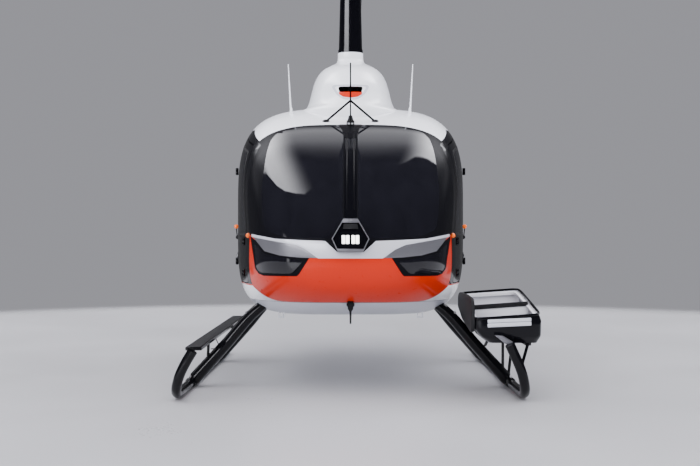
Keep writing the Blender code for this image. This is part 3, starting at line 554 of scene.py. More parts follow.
# finish, two tones, broad noise, roughness and its spread, fine noise, relief, stretch
grained("glassBorder", (0.004, 0.004, 0.005), (0.008, 0.008, 0.010), (160, 3), (0.20, 0.08),
        **{"Specular IOR Level": 0.02})
grained("brightTrim", (0.5808, 0.5896, 0.6424), (0.7128, 0.7236, 0.7884), (22, 4, 0.7), (0.24, 0.12),
        relief=(0.08, 0.0003), stretch=(1.0, 1.0, 60.0), Metallic=0.15)
grained("greyTrim", (0.17, 0.17, 0.19), (0.24, 0.24, 0.26), (26, 4, 0.7), (0.30, 0.12),
        relief=(0.08, 0.0003), stretch=(1.0, 1.0, 40.0), Metallic=0.6)
grained("machinedSteel", (0.34, 0.34, 0.35), (0.56, 0.56, 0.58), (7, 3), (0.22, 0.2), (45, 4, 0.7),
        (0.1, 0.0003), (1.0, 1.0, 18.0), Metallic=1.0)
grained("darkPlastic", (0.006, 0.006, 0.007), (0.014, 0.014, 0.016), (12, 3), (0.58, 0.18), (900, 2),
        (0.3, 0.0006), **{"Specular IOR Level": 0.3})
grained("cabinLining", (0.055, 0.055, 0.060), (0.085, 0.085, 0.090), (9, 4), (0.8, 0.15), (700, 2),
        (0.4, 0.001))
grained("carpet", (0.018, 0.018, 0.020), (0.060, 0.060, 0.064), (620, 3, 0.7), (0.9, 0.08),
        relief=(0.7, 0.003))
grained("basketLining", (0.70, 0.70, 0.74), (0.76, 0.76, 0.80), (5, 3), (0.42, 0.15), (320, 3),
        (0.15, 0.0006))
grained("redWebbing", (0.16, 0.006, 0.006), (0.30, 0.012, 0.010), (900, 2), (0.7, 0.2),
        relief=(0.4, 0.0008))
grained("screenGlass", (0.004, 0.006, 0.010), (0.010, 0.014, 0.020), (14, 3), (0.05, 0.06))
print("materials:", len(materials))


def dress(obj, *looks):
    obj.data.materials.clear()
    for look in looks:
        obj.data.materials.append(materials[look])
    return obj


def many(look, shape, *rows):
    # parts of one finish and one shape, each from its own row of numbers
    return [dress(shape(*row), look) for row in rows]


def place(name, objs, *nodes, body="airframe", angle=35):
    # joins and shades a piece, lets it ride on its body and stand for its CAD nodes
    obj = fuse(name, objs)
    if angle:
        smooth(obj, angle)
    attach(obj, body)
    if nodes:
        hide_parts(*nodes)
    return obj


# Hull: one fine shell, which every panel is cut from
hull = {"across": 144, "along": 120, "skin": 0.040, "pane": 0.010, "seam": 0.0015, "gap": 0.0005,
        "tip": 0.0006, "end": 5.20, "bulkhead": 3.60, "sill": 0.71, "post": 0.045, "wide": 1.3}

# station, half width, belt height, top, bottom, squareness above and below the belt
hullAt = blender((
    (0.00, 0.000, 1.06, 1.060, 1.060, 2.0, 2.0),
    (0.02, 0.280, 1.07, 1.220, 0.930, 2.1, 2.2),
    (0.07, 0.470, 1.09, 1.360, 0.830, 2.4, 2.6),
    (0.16, 0.600, 1.13, 1.500, 0.760, 2.8, 3.0),
    (0.30, 0.705, 1.18, 1.660, 0.695, 3.2, 3.4),
    (0.50, 0.790, 1.25, 1.830, 0.640, 3.7, 4.2),
    (0.75, 0.865, 1.31, 2.005, 0.592, 4.1, 5.3),
    (1.00, 0.925, 1.36, 2.150, 0.568, 4.1, 5.0),
    (1.30, 0.970, 1.40, 2.280, 0.556, 4.0, 4.8),
    (1.70, 0.995, 1.42, 2.365, 0.555, 3.9, 4.7),
    (2.20, 1.000, 1.42, 2.395, 0.564, 3.9, 4.5),
    (2.90, 0.990, 1.42, 2.395, 0.602, 3.8, 4.0),
    (3.30, 0.965, 1.43, 2.380, 0.680, 3.6, 3.6),
    (3.60, 0.930, 1.45, 2.355, 0.760, 3.4, 3.4),
    (4.10, 0.780, 1.55, 2.310, 0.980, 2.9, 2.9),
    (4.60, 0.520, 1.72, 2.275, 1.320, 2.4, 2.4),
    (5.20, 0.270, 1.98, 2.240, 1.740, 2.0, 2.0),
), math.sqrt)


def hullPoint(turn, station, grow=0.0):
    half, belt, top, bottom, above, below = hullAt(station)
    across, up = math.cos(turn), math.sin(turn)
    squareness = above if up >= 0 else below
    height = (top - belt if up >= 0 else belt - bottom) + grow
    reach = (abs(across) ** squareness + abs(up) ** squareness) ** (-1 / squareness)
    return ((half + grow) * across * reach, station, belt + height * up * reach)


def hullSide(station, z):
    # half width of the hull at a height
    half, belt, top, bottom, above, below = hullAt(station)
    squareness, height = (above, top - belt) if z >= belt else (below, belt - bottom)
    return half * max(0.0, 1 - (abs(z - belt) / height) ** squareness) ** (1 / squareness)


def hullSolid(grow=0.0):
    run = hull["end"] - hull["tip"]
    return wrap(hull["across"], hull["along"],
                lambda u, v: hullPoint(2 * math.pi * u, hull["tip"] + run * v**2, grow))


def hullShell(thickness):
    obj = hullSolid()
    edit(obj, "DESELECT")
    leaveEdit()
    aft = max(obj.data.polygons, key=lambda face: face.center.y)
    aft.select = True
    pick(obj)
    bpy.ops.object.mode_set(mode="EDIT")
    bpy.ops.mesh.select_mode(type="FACE")
    bpy.ops.mesh.delete(type="ONLY_FACE")
    bpy.ops.mesh.select_mode(type="VERT")
    leaveEdit()
    dress(obj, "whitePaint", "cabinLining")
    return modify(obj, "SOLIDIFY", thickness=thickness, offset=-1, use_even_offset=True,
                  use_quality_normals=True, material_offset=1, material_offset_rim=0)


thickHull = hullShell(hull["skin"])
thinHull = hullShell(hull["pane"])
hullCore = hullSolid(hull["gap"])
print("hull shells:", len(thickHull.data.polygons), "faces")


def panel(shell, region):
    return carve(twin(shell, "panel"), region, "INTERSECT")


def fromSide(outline, low=0.0):
    return slab(outline, "side", low, hull["wide"])


def fromFront(outline, high, low=-0.3):
    return slab(outline, "front", low, high)


brow = [(0.935, 2.007), (0.962, 2.080), (0.978, 2.115), (1.005, 2.152), (1.050, 2.30), (1.10, 2.60)]
frontPost = [(0.52, 1.23), (0.70, 1.78), (0.85, 1.965)]
cabinEnd = hull["bulkhead"]
sill = hull["sill"]
windshieldEdge = [(-0.3, 1.17), (0.0, 1.184)] + frontPost + brow + [(-0.3, 2.6)]
roofEdge = [(1.3, 2.135), (1.7, 2.165), (cabinEnd, 2.165), (cabinEnd, 2.6)] + brow[::-1]
frameEdge = [(0.56, sill), (0.56, 0.9)] + frontPost + [brow[0], (1.3, 2.135), (1.7, 2.165), (cabinEnd, 2.165),
                                                       (cabinEnd, sill)]
noseEdge = [(-0.3, sill), (-0.3, 1.17), (0.0, 1.184), (0.52, 1.23), (0.56, 0.9), (0.56, sill)]
bellyEdge = [(-0.3, 0.4), (-0.3, sill), (cabinEnd, sill), (cabinEnd, 0.4)]
aftEdge = [(cabinEnd, 0.4), (cabinEnd, 2.6), (hull["end"] + 0.2, 2.6), (hull["end"] + 0.2, 0.4)]
chinEdge = rounded([(0.77, 1.17), (0.745, 0.96), (0.70, 0.925), (0.44, 0.925), (0.33, 1.04),
                    (0.50, 1.07), (0.66, 1.10), (0.72, 1.16)], 0.03)
chinDepth = 0.50

skins = {}
# the belly pan is dressed in grey as painted shade under the hull
for key, edge, outside in (("belly_pan", bellyEdge, "shadedPaint"), ("roof_panel", roofEdge, "whitePaint"),
                           ("aft_fuselage", aftEdge, "whitePaint"), ("nose_panel", noseEdge, "nosePaint")):
    skins[key] = panel(thickHull, fromSide(shrink(edge, hull["seam"]), -hull["wide"]))
    dress(skins[key], outside, "cabinLining")
for window in (chinEdge, mirrored(chinEdge)):
    carve(skins["nose_panel"], fromFront(window, chinDepth))
glassEdge = shrink(windshieldEdge, hull["seam"])
skins["windshield_post"] = panel(thickHull, slab(glassEdge, "side", -hull["post"], hull["post"]))
dress(skins["windshield_post"], "blackPaint", "darkPlastic")

# The windshield's clear part ends inside a printed border
clearEdge = rounded([(0.058, 1.20), (0.50, 1.21), (0.665, 1.27), (0.695, 1.60), (0.676, 1.90),
                     (0.655, 2.01), (0.605, 2.078), (0.49, 2.125), (0.30, 2.20), (0.058, 2.20)], 0.06)
border = panel(thinHull, fromSide(glassEdge, hull["post"] + 0.002))
skins["windshield_left"] = dress(panel(border, fromFront(clearEdge, 1.6, -0.5)), "tintedGlass")
borderLeft = dress(carve(border, fromFront(clearEdge, 1.6, -0.5)), "glassBorder")
chin = panel(thinHull, fromFront(shrink(chinEdge, hull["seam"]), chinDepth))
skins["chin_window_left"] = dress(chin, "tintedGlass")

# Doors: the opening ends in an arc about the hinge, so that the swinging edge keeps its gap
doorGap = 0.008
doors = {
    "front_door": {"opening": [(0.64, 0.84), (0.60, 1.23), (0.79, 1.76), (0.93, 1.975), (1.3, 2.065),
                               (1.75, 2.09), (1.75, 0.84)],
                   "window": [(0.66, 1.24), (0.85, 1.755), (0.965, 1.92), (1.3, 1.99), (1.545, 2.005),
                              (1.545, 1.24)],
                   "hinge": (0.850, 0.585), "radius": 1.040, "heights": (0.93, 1.18), "handle": (1.50, 1.05)},
    "rear_door": {"opening": [(1.70, 0.84), (1.70, 2.095), (3.15, 2.095), (3.15, 0.84)],
                  "window": [(1.775, 1.24), (1.775, 2.015), (2.85, 2.015), (2.85, 1.24)],
                  "hinge": (1.015, 1.665), "radius": 1.285, "heights": (1.00, 1.80), "handle": (2.80, 1.05)},
}
knuckle = {"lift": 0.01515, "pin": 1.15}


def swing(outline, fillet, hinge, radius):
    # a door's outline, cut off at an arc about its hinge
    arc = drum(radius, 2.4, (*hinge, 1.4), sides=160)
    return carve(fromSide(rounded(outline, fillet)), arc, "INTERSECT")


def hingeKnuckles(door, lift):
    # the door's half and the frame's half share a line, one above the other
    made = []
    for z in door["heights"]:
        made += many("tubePaint", drum, (0.013, 0.030, (*door["hinge"], z + lift), "Z", 20, 0.0015),
                     (0.005, 0.030, (*door["hinge"], z + lift * knuckle["pin"]), "Z", 12))
    return made


sideFrame = panel(thickHull, fromSide(shrink(frameEdge, hull["seam"])))
for name, door in doors.items():
    carve(sideFrame, swing(door["opening"], 0.05, door["hinge"], door["radius"]))
    inside = shrink(door["opening"], doorGap)
    leaf = panel(thickHull, swing(inside, 0.045, door["hinge"], door["radius"] - doorGap))
    window = rounded(door["window"], 0.05)
    carve(leaf, fromSide(window))
    glass = dress(panel(thinHull, fromSide(shrink(window, 0.002))), "tintedGlass")
    dress(leaf, "blackPaint", "cabinLining")
    # a recessed cup with its lever, and the rubber round the window
    station, z = door["handle"]
    skin = hullSide(station, z)
    lever = dress(block((0.010, 0.145, 0.030), (skin + 0.006, station, z), 0.004, 3), "machinedSteel")
    cup = dress(block((0.006, 0.185, 0.062), (skin - 0.0005, station, z), 0.0025, 2), "darkPlastic")
    seal = panel(thinHull, fromSide(shrink(window, -0.010)))
    carve(seal, fromSide(shrink(window, 0.008)))
    dress(raised(seal, 0.0015), "darkPlastic")
    left = fuse("left", [leaf, lever, cup, seal] + hingeKnuckles(door, knuckle["lift"]))
    for side, whole, light in (("left", left, glass), ("right", mirrorOf(left), mirrorOf(glass))):
        node = f"{name}_{side}"
        place(f"{name}Leaf.{side}", [whole], node, body=node)
        place(f"{name}Glass.{side}", [light], f"{name}_glass_{side}", body=node)
dress(sideFrame, "sidePaint", "cabinLining")
print("doors cut")

# Cross tubes pass through the belly, so their shape is needed here
gear = {"skidX": 1.2925, "skidRadius": 0.037, "points": 56, "sides": 28, "sleeve": 0.004,
        "stations": {"front": 0.76, "aft": 2.55}, "saddleX": 1.2885, "clampX": 1.2870,
        "clamps": (-0.085, 0.085)}

# x, height, thickness and chord of a cross tube, from the skid to the middle
legRow = ((1.297, 0.030, 0.105, 0.130), (1.020, 0.334, 0.095, 0.124), (0.742, 0.638, 0.086, 0.116),
          (0.665, 0.686, 0.074, 0.100), (0.580, 0.690, 0.060, 0.080), (0.450, 0.685, 0.060, 0.062),
          (0.000, 0.685, 0.060, 0.062))


def legTube(station, grow=0.0):
    rows = np.array(legRow + tuple((-x, z, thick, chord) for x, z, thick, chord in legRow[-2::-1]))
    runs = np.concatenate([[0], np.cumsum(np.hypot(np.diff(rows[:, 0]), np.diff(rows[:, 1])))])
    at = blender(np.column_stack([runs, rows]))

    def spot(u, v):
        run = runs[-1] * v
        x, z, thick, chord = at(run)
        ahead, behind = at(min(run + 0.01, runs[-1])), at(max(run - 0.01, 0))
        way = Vector((-1, 0)) if v in (0.0, 1.0) else Vector((ahead[0] - behind[0], ahead[1] - behind[1]))
        way.normalize()
        turn = 2 * math.pi * u
        reach = (thick / 2 + grow) * math.cos(turn)
        return (x - way.y * reach, station + (chord / 2 + grow) * math.sin(turn), z + way.x * reach)
    return wrap(gear["sides"], gear["points"], spot)


for station in gear["stations"].values():
    for skin in (skins["belly_pan"], sideFrame):
        carve(skin, legTube(station, gear["sleeve"]))
hinges = [obj for door in doors.values() for obj in hingeKnuckles(door, -knuckle["lift"])]
skins["side_frame_left"] = fuse("sideFrame", [sideFrame] + hinges)
for key in ("side_frame", "windshield", "chin_window"):
    skins[key + "_right"] = mirrorOf(skins[key + "_left"])
names = {"belly_pan": "bellySkin", "roof_panel": "roofSkin", "aft_fuselage": "aftSkin",
         "nose_panel": "noseSkin", "windshield_post": "centrePost", "windshield_left": "windshield.left",
         "windshield_right": "windshield.right", "chin_window_left": "chinWindow.left",
         "chin_window_right": "chinWindow.right", "side_frame_left": "sideFrame.left",
         "side_frame_right": "sideFrame.right"}
borderRight = mirrorOf(borderLeft)
for key, obj in skins.items():
    place(names[key], [obj], key)
place("glassBorder.left", [borderLeft])
place("glassBorder.right", [borderRight])
print("skins:", len(skins))


# Nose trim, laid on the skin: a bright band that widens round the lamp, and grey blades under its ends

def onSkin(outline, lift, look, high=0.62, low=-0.3):
    return dress(raised(panel(thinHull, fromFront(outline, high, low)), lift), look)


trim = {"lift": 0.005,
        "brightTop": [(0.100, 1.098), (0.190, 1.180), (0.380, 1.187), (0.568, 1.197), (0.775, 1.234)],
        "brightLow": [(0.772, 1.219), (0.411, 1.158), (0.330, 1.122), (0.262, 1.073), (0.240, 1.058)],
        "lampBed": [(-0.215, 1.200), (0.215, 1.200), (0.200, 1.178), (0.105, 1.088), (-0.105, 1.088),
                    (-0.200, 1.178)],
        "chinBed": [(0.788, 1.222), (0.745, 1.190), (0.40, 1.140), (0.305, 1.062), (0.383, 0.940),
                    (0.40, 0.922), (0.668, 0.918), (0.712, 0.932), (0.738, 0.970)],
        "grey": [(0.755, 1.212), (0.411, 1.153), (0.334, 1.118), (0.268, 1.071), (0.246, 1.058),
                 (0.387, 1.063), (0.530, 1.077), (0.655, 1.108), (0.722, 1.180)]}
bright = mirrored(trim["brightTop"]) + trim["brightTop"] + trim["brightLow"] + mirrored(trim["brightLow"])
place("noseBand", [onSkin(bright, trim["lift"], "brightTrim")])
blade = onSkin(trim["grey"], trim["lift"] * 0.6, "greyTrim")
place("noseBlades", [blade, mirrorOf(blade)])
beds = [onSkin(trim["lampBed"], 0.0022, "glassBorder", 0.4)]
for edge, hole in ((trim["chinBed"], chinEdge), (mirrored(trim["chinBed"]), mirrored(chinEdge))):
    beds.append(carve(onSkin(edge, 0.0018, "glassBorder"), fromFront(shrink(hole, 0.012), 0.62)))
place("trimBeds", beds)
place("noseMarks", many("orangeLens", ball, (0.020, (0.812, 0.565, 1.226)), (0.020, (-0.812, 0.565, 1.226))))

# Nose lamp: a six-sided housing with four lamp units, a bare plate above them and grey lips
lampEdge = [(-0.054, 1.352), (0.054, 1.352), (0.142, 1.201), (0.095, 1.102), (-0.095, 1.102), (-0.142, 1.201)]
lamp = {"front": -0.050, "width": 0.024, "tall": 0.062, "x": (-0.051, -0.021, 0.021, 0.051), "z": 1.195,
        "lips": (([(-0.050, 1.349), (0.050, 1.349), (0.068, 1.320), (-0.068, 1.320)], "greyTrim"),
                 ([(-0.088, 1.106), (0.088, 1.106), (0.104, 1.126), (-0.104, 1.126)], "greyTrim"),
                 ([(-0.058, 1.274), (0.058, 1.274), (0.050, 1.312), (-0.050, 1.312)], "darkPlastic"))}
front = lamp["front"]
body = plate(lampEdge, "front", front + 0.006, 0.10, 0.006, 3)
carve(body, fromFront(shrink(lampEdge, 0.016), front + 0.014))
ring = carve(fromFront(shrink(lampEdge, 0.002), front + 0.010, front + 0.001),
             fromFront(shrink(lampEdge, 0.009), 0.1))
bits = [dress(body, "blackPaint"), dress(ring, "greyTrim")]
for outline, look in lamp["lips"]:
    bits.append(dress(plate(outline, "front", front + 0.002, 0.0, 0.003), look))
for x in lamp["x"]:
    width, tall, z = lamp["width"], lamp["tall"], lamp["z"]
    bits += many("machinedSteel", block, ((width + 0.005, 0.020, tall + 0.006), (x, front + 0.018, z), 0.003))
    bits += many("lampLens", block, ((width, 0.010, tall), (x, front + 0.008, z), 0.004, 3))
place("noseLamp", bits, "nose_lamp")

# Post: two ribs that run up the middle of the windshield, and the bracket at its head
rib = {"x": 0.028, "start": 0.10, "run": 0.98, "points": 24, "radius": 0.0045, "lift": 0.002}
ribs = []
for x in (-rib["x"], rib["x"]):
    path = []
    for i in range(rib["points"]):
        station = rib["start"] + rib["run"] * (i / (rib["points"] - 1))
        path.append((x, station, hullPoint(math.pi / 2, station)[2] + rib["lift"]))
    ribs.append(dress(rod(path, rib["radius"]), "glassBorder"))
bracket = rounded([(-0.100, 2.152), (0.100, 2.152), (0.068, 2.105), (0.052, 2.02), (-0.052, 2.02),
                   (-0.068, 2.105)], 0.02)
place("postRibs", ribs + [onSkin(bracket, 0.003, "glassBorder", 1.14, 0.6)])
print("nose: trim, lamp and post")

# Pylon cowling, with its intake, seams, louvres and exhaust

# height, half width, front station, widest station, rear station
cowlAt = blender((
    (2.20, 0.560, 1.16, 2.20, 4.45), (2.32, 0.520, 1.20, 2.20, 4.40), (2.38, 0.420, 1.26, 2.20, 4.20),
    (2.46, 0.385, 1.32, 2.20, 3.95), (2.56, 0.360, 1.38, 2.20, 3.65), (2.66, 0.330, 1.50, 2.20, 3.35),
    (2.74, 0.280, 1.65, 2.20, 3.10), (2.80, 0.205, 1.85, 2.23, 2.92), (2.85, 0.140, 2.05, 2.25, 2.77),
    (2.89, 0.122, 2.115, 2.25, 2.69), (2.95, 0.120, 2.12, 2.25, 2.68),
))
cowl = {"low": 2.20, "top": 2.95, "skin": 0.018, "aftPower": 0.85, "frontPower": 0.80, "sidePower": 0.85,
        "seam": 0.004, "seams": (1.78, 3.02), "shelf": 2.395,
        "intake": [(-0.109, 2.521), (0.109, 2.521), (0.085, 2.425), (-0.085, 2.425)],
        "lip": [(-0.098, 2.464), (0.098, 2.464), (0.090, 2.444), (0.058, 2.426), (0.0, 2.417),
                (-0.058, 2.426), (-0.090, 2.444)],
        # outer and inner outlines of the grey ring of painted shade round the intake
        "shade": [(-0.165, 2.535), (0.165, 2.535), (0.125, 2.455), (0.06, 2.398), (-0.06, 2.398),
                  (-0.125, 2.455)],
        "paintedShadeInside": [(-0.145, 2.528), (0.145, 2.528), (0.112, 2.460), (0.052, 2.408), (-0.052, 2.408),
                        (-0.112, 2.460)]}
louvre = {"count": 6, "first": 3.14, "pitch": 0.075, "z": 2.50, "depth": 0.020, "slant": 0.45,
          "hole": (0.10, 0.032, 0.13), "blade": (0.004, 0.046, 0.14)}
exhaust = {"radius": 0.13, "wall": 0.006, "z": 2.50, "ends": (3.50, 4.55), "clamp": 4.16}


def ovalPoint(turn, half, front, widest, rear, z):
    across, along = math.cos(turn), math.sin(turn)
    reach = rear - widest if along > 0 else widest - front
    exponent = cowl["aftPower"] if along > 0 else cowl["frontPower"]
    return (half * power(across, cowl["sidePower"]), widest + reach * power(along, exponent), z)


def cowlSolid(inset=0.0, over=0.0):
    low, top = cowl["low"] - over, cowl["top"] + over

    def spot(u, v):
        z = low + (top - low) * v
        half, front, widest, rear = cowlAt(min(max(z, cowl["low"]), cowl["top"]))
        return ovalPoint(2 * math.pi * u, half - inset, front + inset, widest, rear - inset, z)
    return wrap(112, 70, spot)


def cowlSide(station, z):
    # half width of the cowling, aft of its widest place
    half, front, widest, rear = cowlAt(z)
    share = ((station - widest) / (rear - widest)) ** (1 / cowl["aftPower"])
    return half * (1 - share * share) ** (cowl["sidePower"] / 2)


cowling = carve(cowlSolid(), cowlSolid(cowl["skin"], 0.02))
carve(cowling, hullCore, spend=False)
lip = panel(cowling, fromFront(cowl["lip"], 1.7, 1.0))
# a grey ring round the intake, raised on the cowling: painted shade of a recess
shade = panel(cowling, fromFront(rounded(cowl["shade"], 0.03), 1.7, 1.0))
carve(shade, fromFront(rounded(cowl["paintedShadeInside"], 0.03), 1.7, 1.0))
carve(cowling, fromFront(rounded(cowl["intake"], 0.022), 1.9, 1.0))
carve(cowling, drum(exhaust["radius"] + 0.012, 2.0, (0, 4.2, exhaust["z"]), "Y", 64))
for station in cowl["seams"]:
    carve(cowling, block((2.0, cowl["seam"], 2.0), (0, station, 2.5)))
span = cowl["seams"][1] - cowl["seams"][0]
carve(cowling, block((2.0, span, cowl["seam"]), (0, sum(cowl["seams"]) / 2, cowl["shelf"])))
louvres = []
for side in (1, -1):
    for i in range(louvre["count"]):
        station = louvre["first"] + louvre["pitch"] * i
        z = louvre["z"]
        skin = cowlSide(station, z)
        slope = math.atan2(cowlSide(station - 0.02, z) - cowlSide(station + 0.02, z), 0.04)
        lean = math.atan2(cowlSide(station, z - 0.05) - cowlSide(station, z + 0.05), 0.10)
        carve(cowling, block(louvre["hole"], (side * skin, station, z), 0.006, 2,
                             (0, -side * lean, side * slope)))
        louvres += many("darkPlastic", block, (louvre["blade"], (side * (skin - louvre["depth"]), station, z),
                                               0, 2, (0, -side * lean, side * (slope + louvre["slant"]))))
place("pylonCowling", [dress(cowling, "whitePaint")], "pylon_cowling", angle=30)
place("intakeLip", [dress(raised(lip, 0.006), "orangePaint"), dress(raised(shade, 0.004), "shadedPaint")])
duct = carve(block((0.25, 0.30, 0.15), (0, 1.60, 2.475), 0.02), block((0.23, 0.32, 0.13), (0, 1.58, 2.475)))
bars = many("darkPlastic", block, *[((0.004, 0.02, 0.11), (x, 1.42, 2.475))
                                    for x in (-0.06, -0.02, 0.02, 0.06)])
place("intakeDuct", [dress(duct, "darkPlastic")] + bars + louvres)

start, end = exhaust["ends"]
radius, z = exhaust["radius"], exhaust["z"]
pipe = carve(drum(radius, end - start, (0, (start + end) / 2, z), "Y", 64),
             drum(radius - exhaust["wall"], end - start + 0.1, (0, (start + end) / 2, z), "Y", 64))
carve(pipe, hullCore, spend=False)
bpy.ops.object.select_all(action="DESELECT")
bpy.ops.mesh.primitive_torus_add(location=(0, noseY + end - 0.006, z), rotation=(math.pi / 2, 0, 0),
                                 major_radius=radius - 0.003, minor_radius=0.006, major_segments=64,
                                 minor_segments=10)
rolled = settle(bpy.context.object, "rolled")
clamp = carve(drum(radius + 0.005, 0.025, (0, exhaust["clamp"], z), "Y", 64, 0.002),
              drum(radius - 0.001, 0.1, (0, exhaust["clamp"], z), "Y", 64))
place("exhaust", [dress(pipe, "heatedSteel"), dress(rolled, "heatedSteel"), dress(clamp, "machinedSteel")],
      "exhaust_pipe")
print("pylon")

# Mast fairing, rotor head and blades
rotor = {"station": 2.25, "mast": 0.045, "mastLow": 2.8, "hub": (3.69, 3.81), "root": 0.60,
         "fairing": (2.9503, 3.47), "collar": 3.485, "reach": 5.3995, "ahead": 0.467, "gap": 0.0005,
         "cuff": 0.08, "tab": 4.5}
fairingRows = ((0.112, 0.120, 0.415), (0.099, 0.104, 0.370))  # half width, front reach, rear reach


def fairingSolid(inset=0.0, over=0.0):
    low, top = rotor["fairing"][0] - over, rotor["fairing"][1] + over

    def spot(u, v):
        half, front, rear = (a * (1 - v) + b * v for a, b in zip(*fairingRows))
        station = rotor["station"]
        return ovalPoint(2 * math.pi * u, half - inset, station - front + inset, station,
                         station + rear - 2 * inset, low + (top - low) * v)
    return wrap(96, 14, spot)


fairing = carve(fairingSolid(), fairingSolid(0.012, 0.02))
collar = carve(fairingSolid(-0.005), fairingSolid(0.008, 0.02))
carve(collar, block((1, 2, 1), (0, 2.4, rotor["collar"])))
place("mastFairing", [dress(fairing, "blackPaint"), dress(collar, "blackPaint")], "mast_fairing")

axis = rotor["station"]
low, high = rotor["hub"]
middle = (low + high) / 2
mastTop, mastLow = high - 0.02, rotor["mastLow"]
place("rotorMast", many("machinedSteel", drum, (rotor["mast"], mastTop - mastLow,
                                                (0, axis, (mastTop + mastLow) / 2), "Z", 48)),
      "rotor_mast", body="main_rotor")

swashRing = [(0.047, 3.528), (0.132, 3.528), (0.150, 3.536), (0.150, 3.550), (0.138, 3.553), (0.138, 3.558),
             (0.150, 3.561), (0.148, 3.576), (0.120, 3.583), (0.047, 3.583)]
swash = many("machinedSteel", spun, (swashRing, (0, axis, 0)))
for sign in (1, -1):
    x, station = sign * 0.125, axis - sign * 0.04
    swash += many("tubePaint", rod, ([(x, station, 3.56), (x, station, low + 0.012)], 0.009, 16))
    for z in (3.595, low - 0.018):
        swash += many("machinedSteel", ball, (0.017, (x, station, z)))
        swash += many("machinedSteel", drum, (0.007, 0.05, (x, station, z), "X", 16))
    swash += many("castAlloy", block, ((0.05, 0.035, 0.018), (x, station, 3.585), 0.004))
place("swashplateRings", swash, "swashplate", body="main_rotor")

head = many("castAlloy", block, ((0.135, 0.76, 0.075), (0, axis, middle), 0.018, 3),
            ((0.29, 0.11, 0.030), (0, axis, low + 0.026), 0.008))
nut = [(0.0, high + 0.028), (0.030, high + 0.026), (0.048, high + 0.010), (0.052, high - 0.030),
       (0.066, high - 0.045), (0.066, low), (0.0, low)]
head += many("machinedSteel", spun, (nut, (0, axis, 0)))
for sign in (1, -1):
    head += many("machinedSteel", block, *[((0.150, 0.30, 0.018), (0, axis + sign * 0.44, z), 0.005)
                                           for z in (high - 0.010, low + 0.010)])
    head += many("machinedSteel", drum, *[(0.013, 0.124, (x, axis + sign * reach, middle), "Z", 6)
                                          for x in (-0.045, 0.045) for reach in (0.34, 0.42, 0.54)])
    head += many("machinedSteel", drum, *[(0.010, 0.14, (x, axis + sign * 0.14, middle), "X", 12, 0.002)
                                          for x in (-0.062, 0.062)])
place("rotorHead", head, "rotor_hub", body="main_rotor")

# reach along the blade, chord, thickness over chord, droop
bladeAt = blender(((0.0, 0.15, 0.50, 0.0), (0.12, 0.16, 0.40, 0.0), (0.45, 0.225, 0.17, 0.002),
                   (2.0, 0.225, 0.15, 0.018), (3.7, 0.225, 0.15, 0.068), (5.1, 0.225, 0.14, 0.128),
                   (5.4, 0.17, 0.12, 0.142)))


def foil(turn, chord, thickness):
    # a symmetric wing section as (distance from the leading edge, height)
    x = (1 + math.cos(turn)) / 2
    curve = 0.2969 * math.sqrt(x) - 0.1260 * x - 0.3516 * x**2 + 0.2843 * x**3 - 0.1036 * x**4
    half = 5 * thickness * curve
    return x * chord, math.copysign(half, math.sin(turn)) * chord


for name, sign in (("front", -1), ("aft", 1)):
    def spot(u, v):
        reach = rotor["reach"] * v
        chord, thickness, droop = bladeAt(reach)
        along, up = foil(2 * math.pi * u, chord, thickness)
        station = axis + sign * (rotor["root"] + rotor["gap"] + reach)
        return (-sign * (chord * rotor["ahead"] - along), station, middle + up - droop)
    cuff = axis + sign * (rotor["root"] + rotor["cuff"])
    bits = [dress(wrap(44, 60, spot), "rotorPaint")]
    bits += many("machinedSteel", block, ((0.135, 0.26, 0.012), (0, cuff, middle + 0.034), 0.004),
                 ((0.135, 0.26, 0.012), (0, cuff, middle - 0.034), 0.004))
    tab = (sign * 0.128, axis + sign * rotor["tab"], middle - 0.083)
    bits += many("rotorPaint", block, ((0.030, 0.32, 0.003), tab, 0.001))
    place(f"blade.{name}", bits, f"main_blade_{name}", body="main_rotor")
print("main rotor")

# Tail: boom, gearbox, fins, stabilizer, tail rotor and stinger
tail = {"root": 5.20, "end": 9.15, "radius": 0.13, "height": 2.12, "box": (0.17, 0.3497, 0.24),
        "boxSpot": (0, 9.32515, 2.14), "station": 9.35, "z": 2.14, "bladeX": 0.19, "bladeRoot": 0.1603,
        "reach": 0.90, "bands": (6.45, 7.70, 8.55)}
rootHalf, _, rootTop, rootBottom = hullAt(tail["root"])[:4]


def boomPoint(turn, station, grow=0.0):
    share = (station - tail["root"]) / (tail["end"] - tail["root"])
    half = rootHalf * (1 - share) + tail["radius"] * share + grow
    tall = (rootTop - rootBottom) / 2 * (1 - share) + tail["radius"] * share + grow
    centre = (rootTop + rootBottom) / 2 * (1 - share) + tail["height"] * share
    return (half * math.cos(turn), station, centre + tall * math.sin(turn))


def boomSolid(first, last, grow=0.0, rings=24):
    return wrap(64, rings, lambda u, v: boomPoint(2 * math.pi * u, first + (last - first) * v, grow))


boom = many("whitePaint", boomSolid, (tail["root"] + 0.0005, tail["end"]))
for station in (tail["root"] + 0.02, *tail["bands"]):
    boom.append(dress(soften(boomSolid(station, station + 0.035, 0.0025, 2), 0.001), "whitePaint"))
boom += many("machinedSteel", ball, *[(0.008, boomPoint(2 * math.pi * i / 20, tail["root"] + 0.037, 0.003))
                                      for i in range(20)])
place("tailBoom", boom, "tail_boom")

station, height = tail["station"], tail["z"]
bits = many("whitePaint", block, (tail["box"], tail["boxSpot"], 0.045, 6))
bits += many("castAlloy", drum, (0.055, 0.04, (0.090, station, height), "X", 40, 0.006))
bits += many("machinedSteel", drum, (0.018, 0.02, (-0.089, 9.30, 2.10), "X", 24, 0.003),
             *[(0.006, 0.012, (0.109, station + 0.045 * math.cos(math.pi * i / 4),
                               height + 0.045 * math.sin(math.pi * i / 4)), "X", 6) for i in range(8)])
place("tailGearbox", bits, "tail_gearbox")

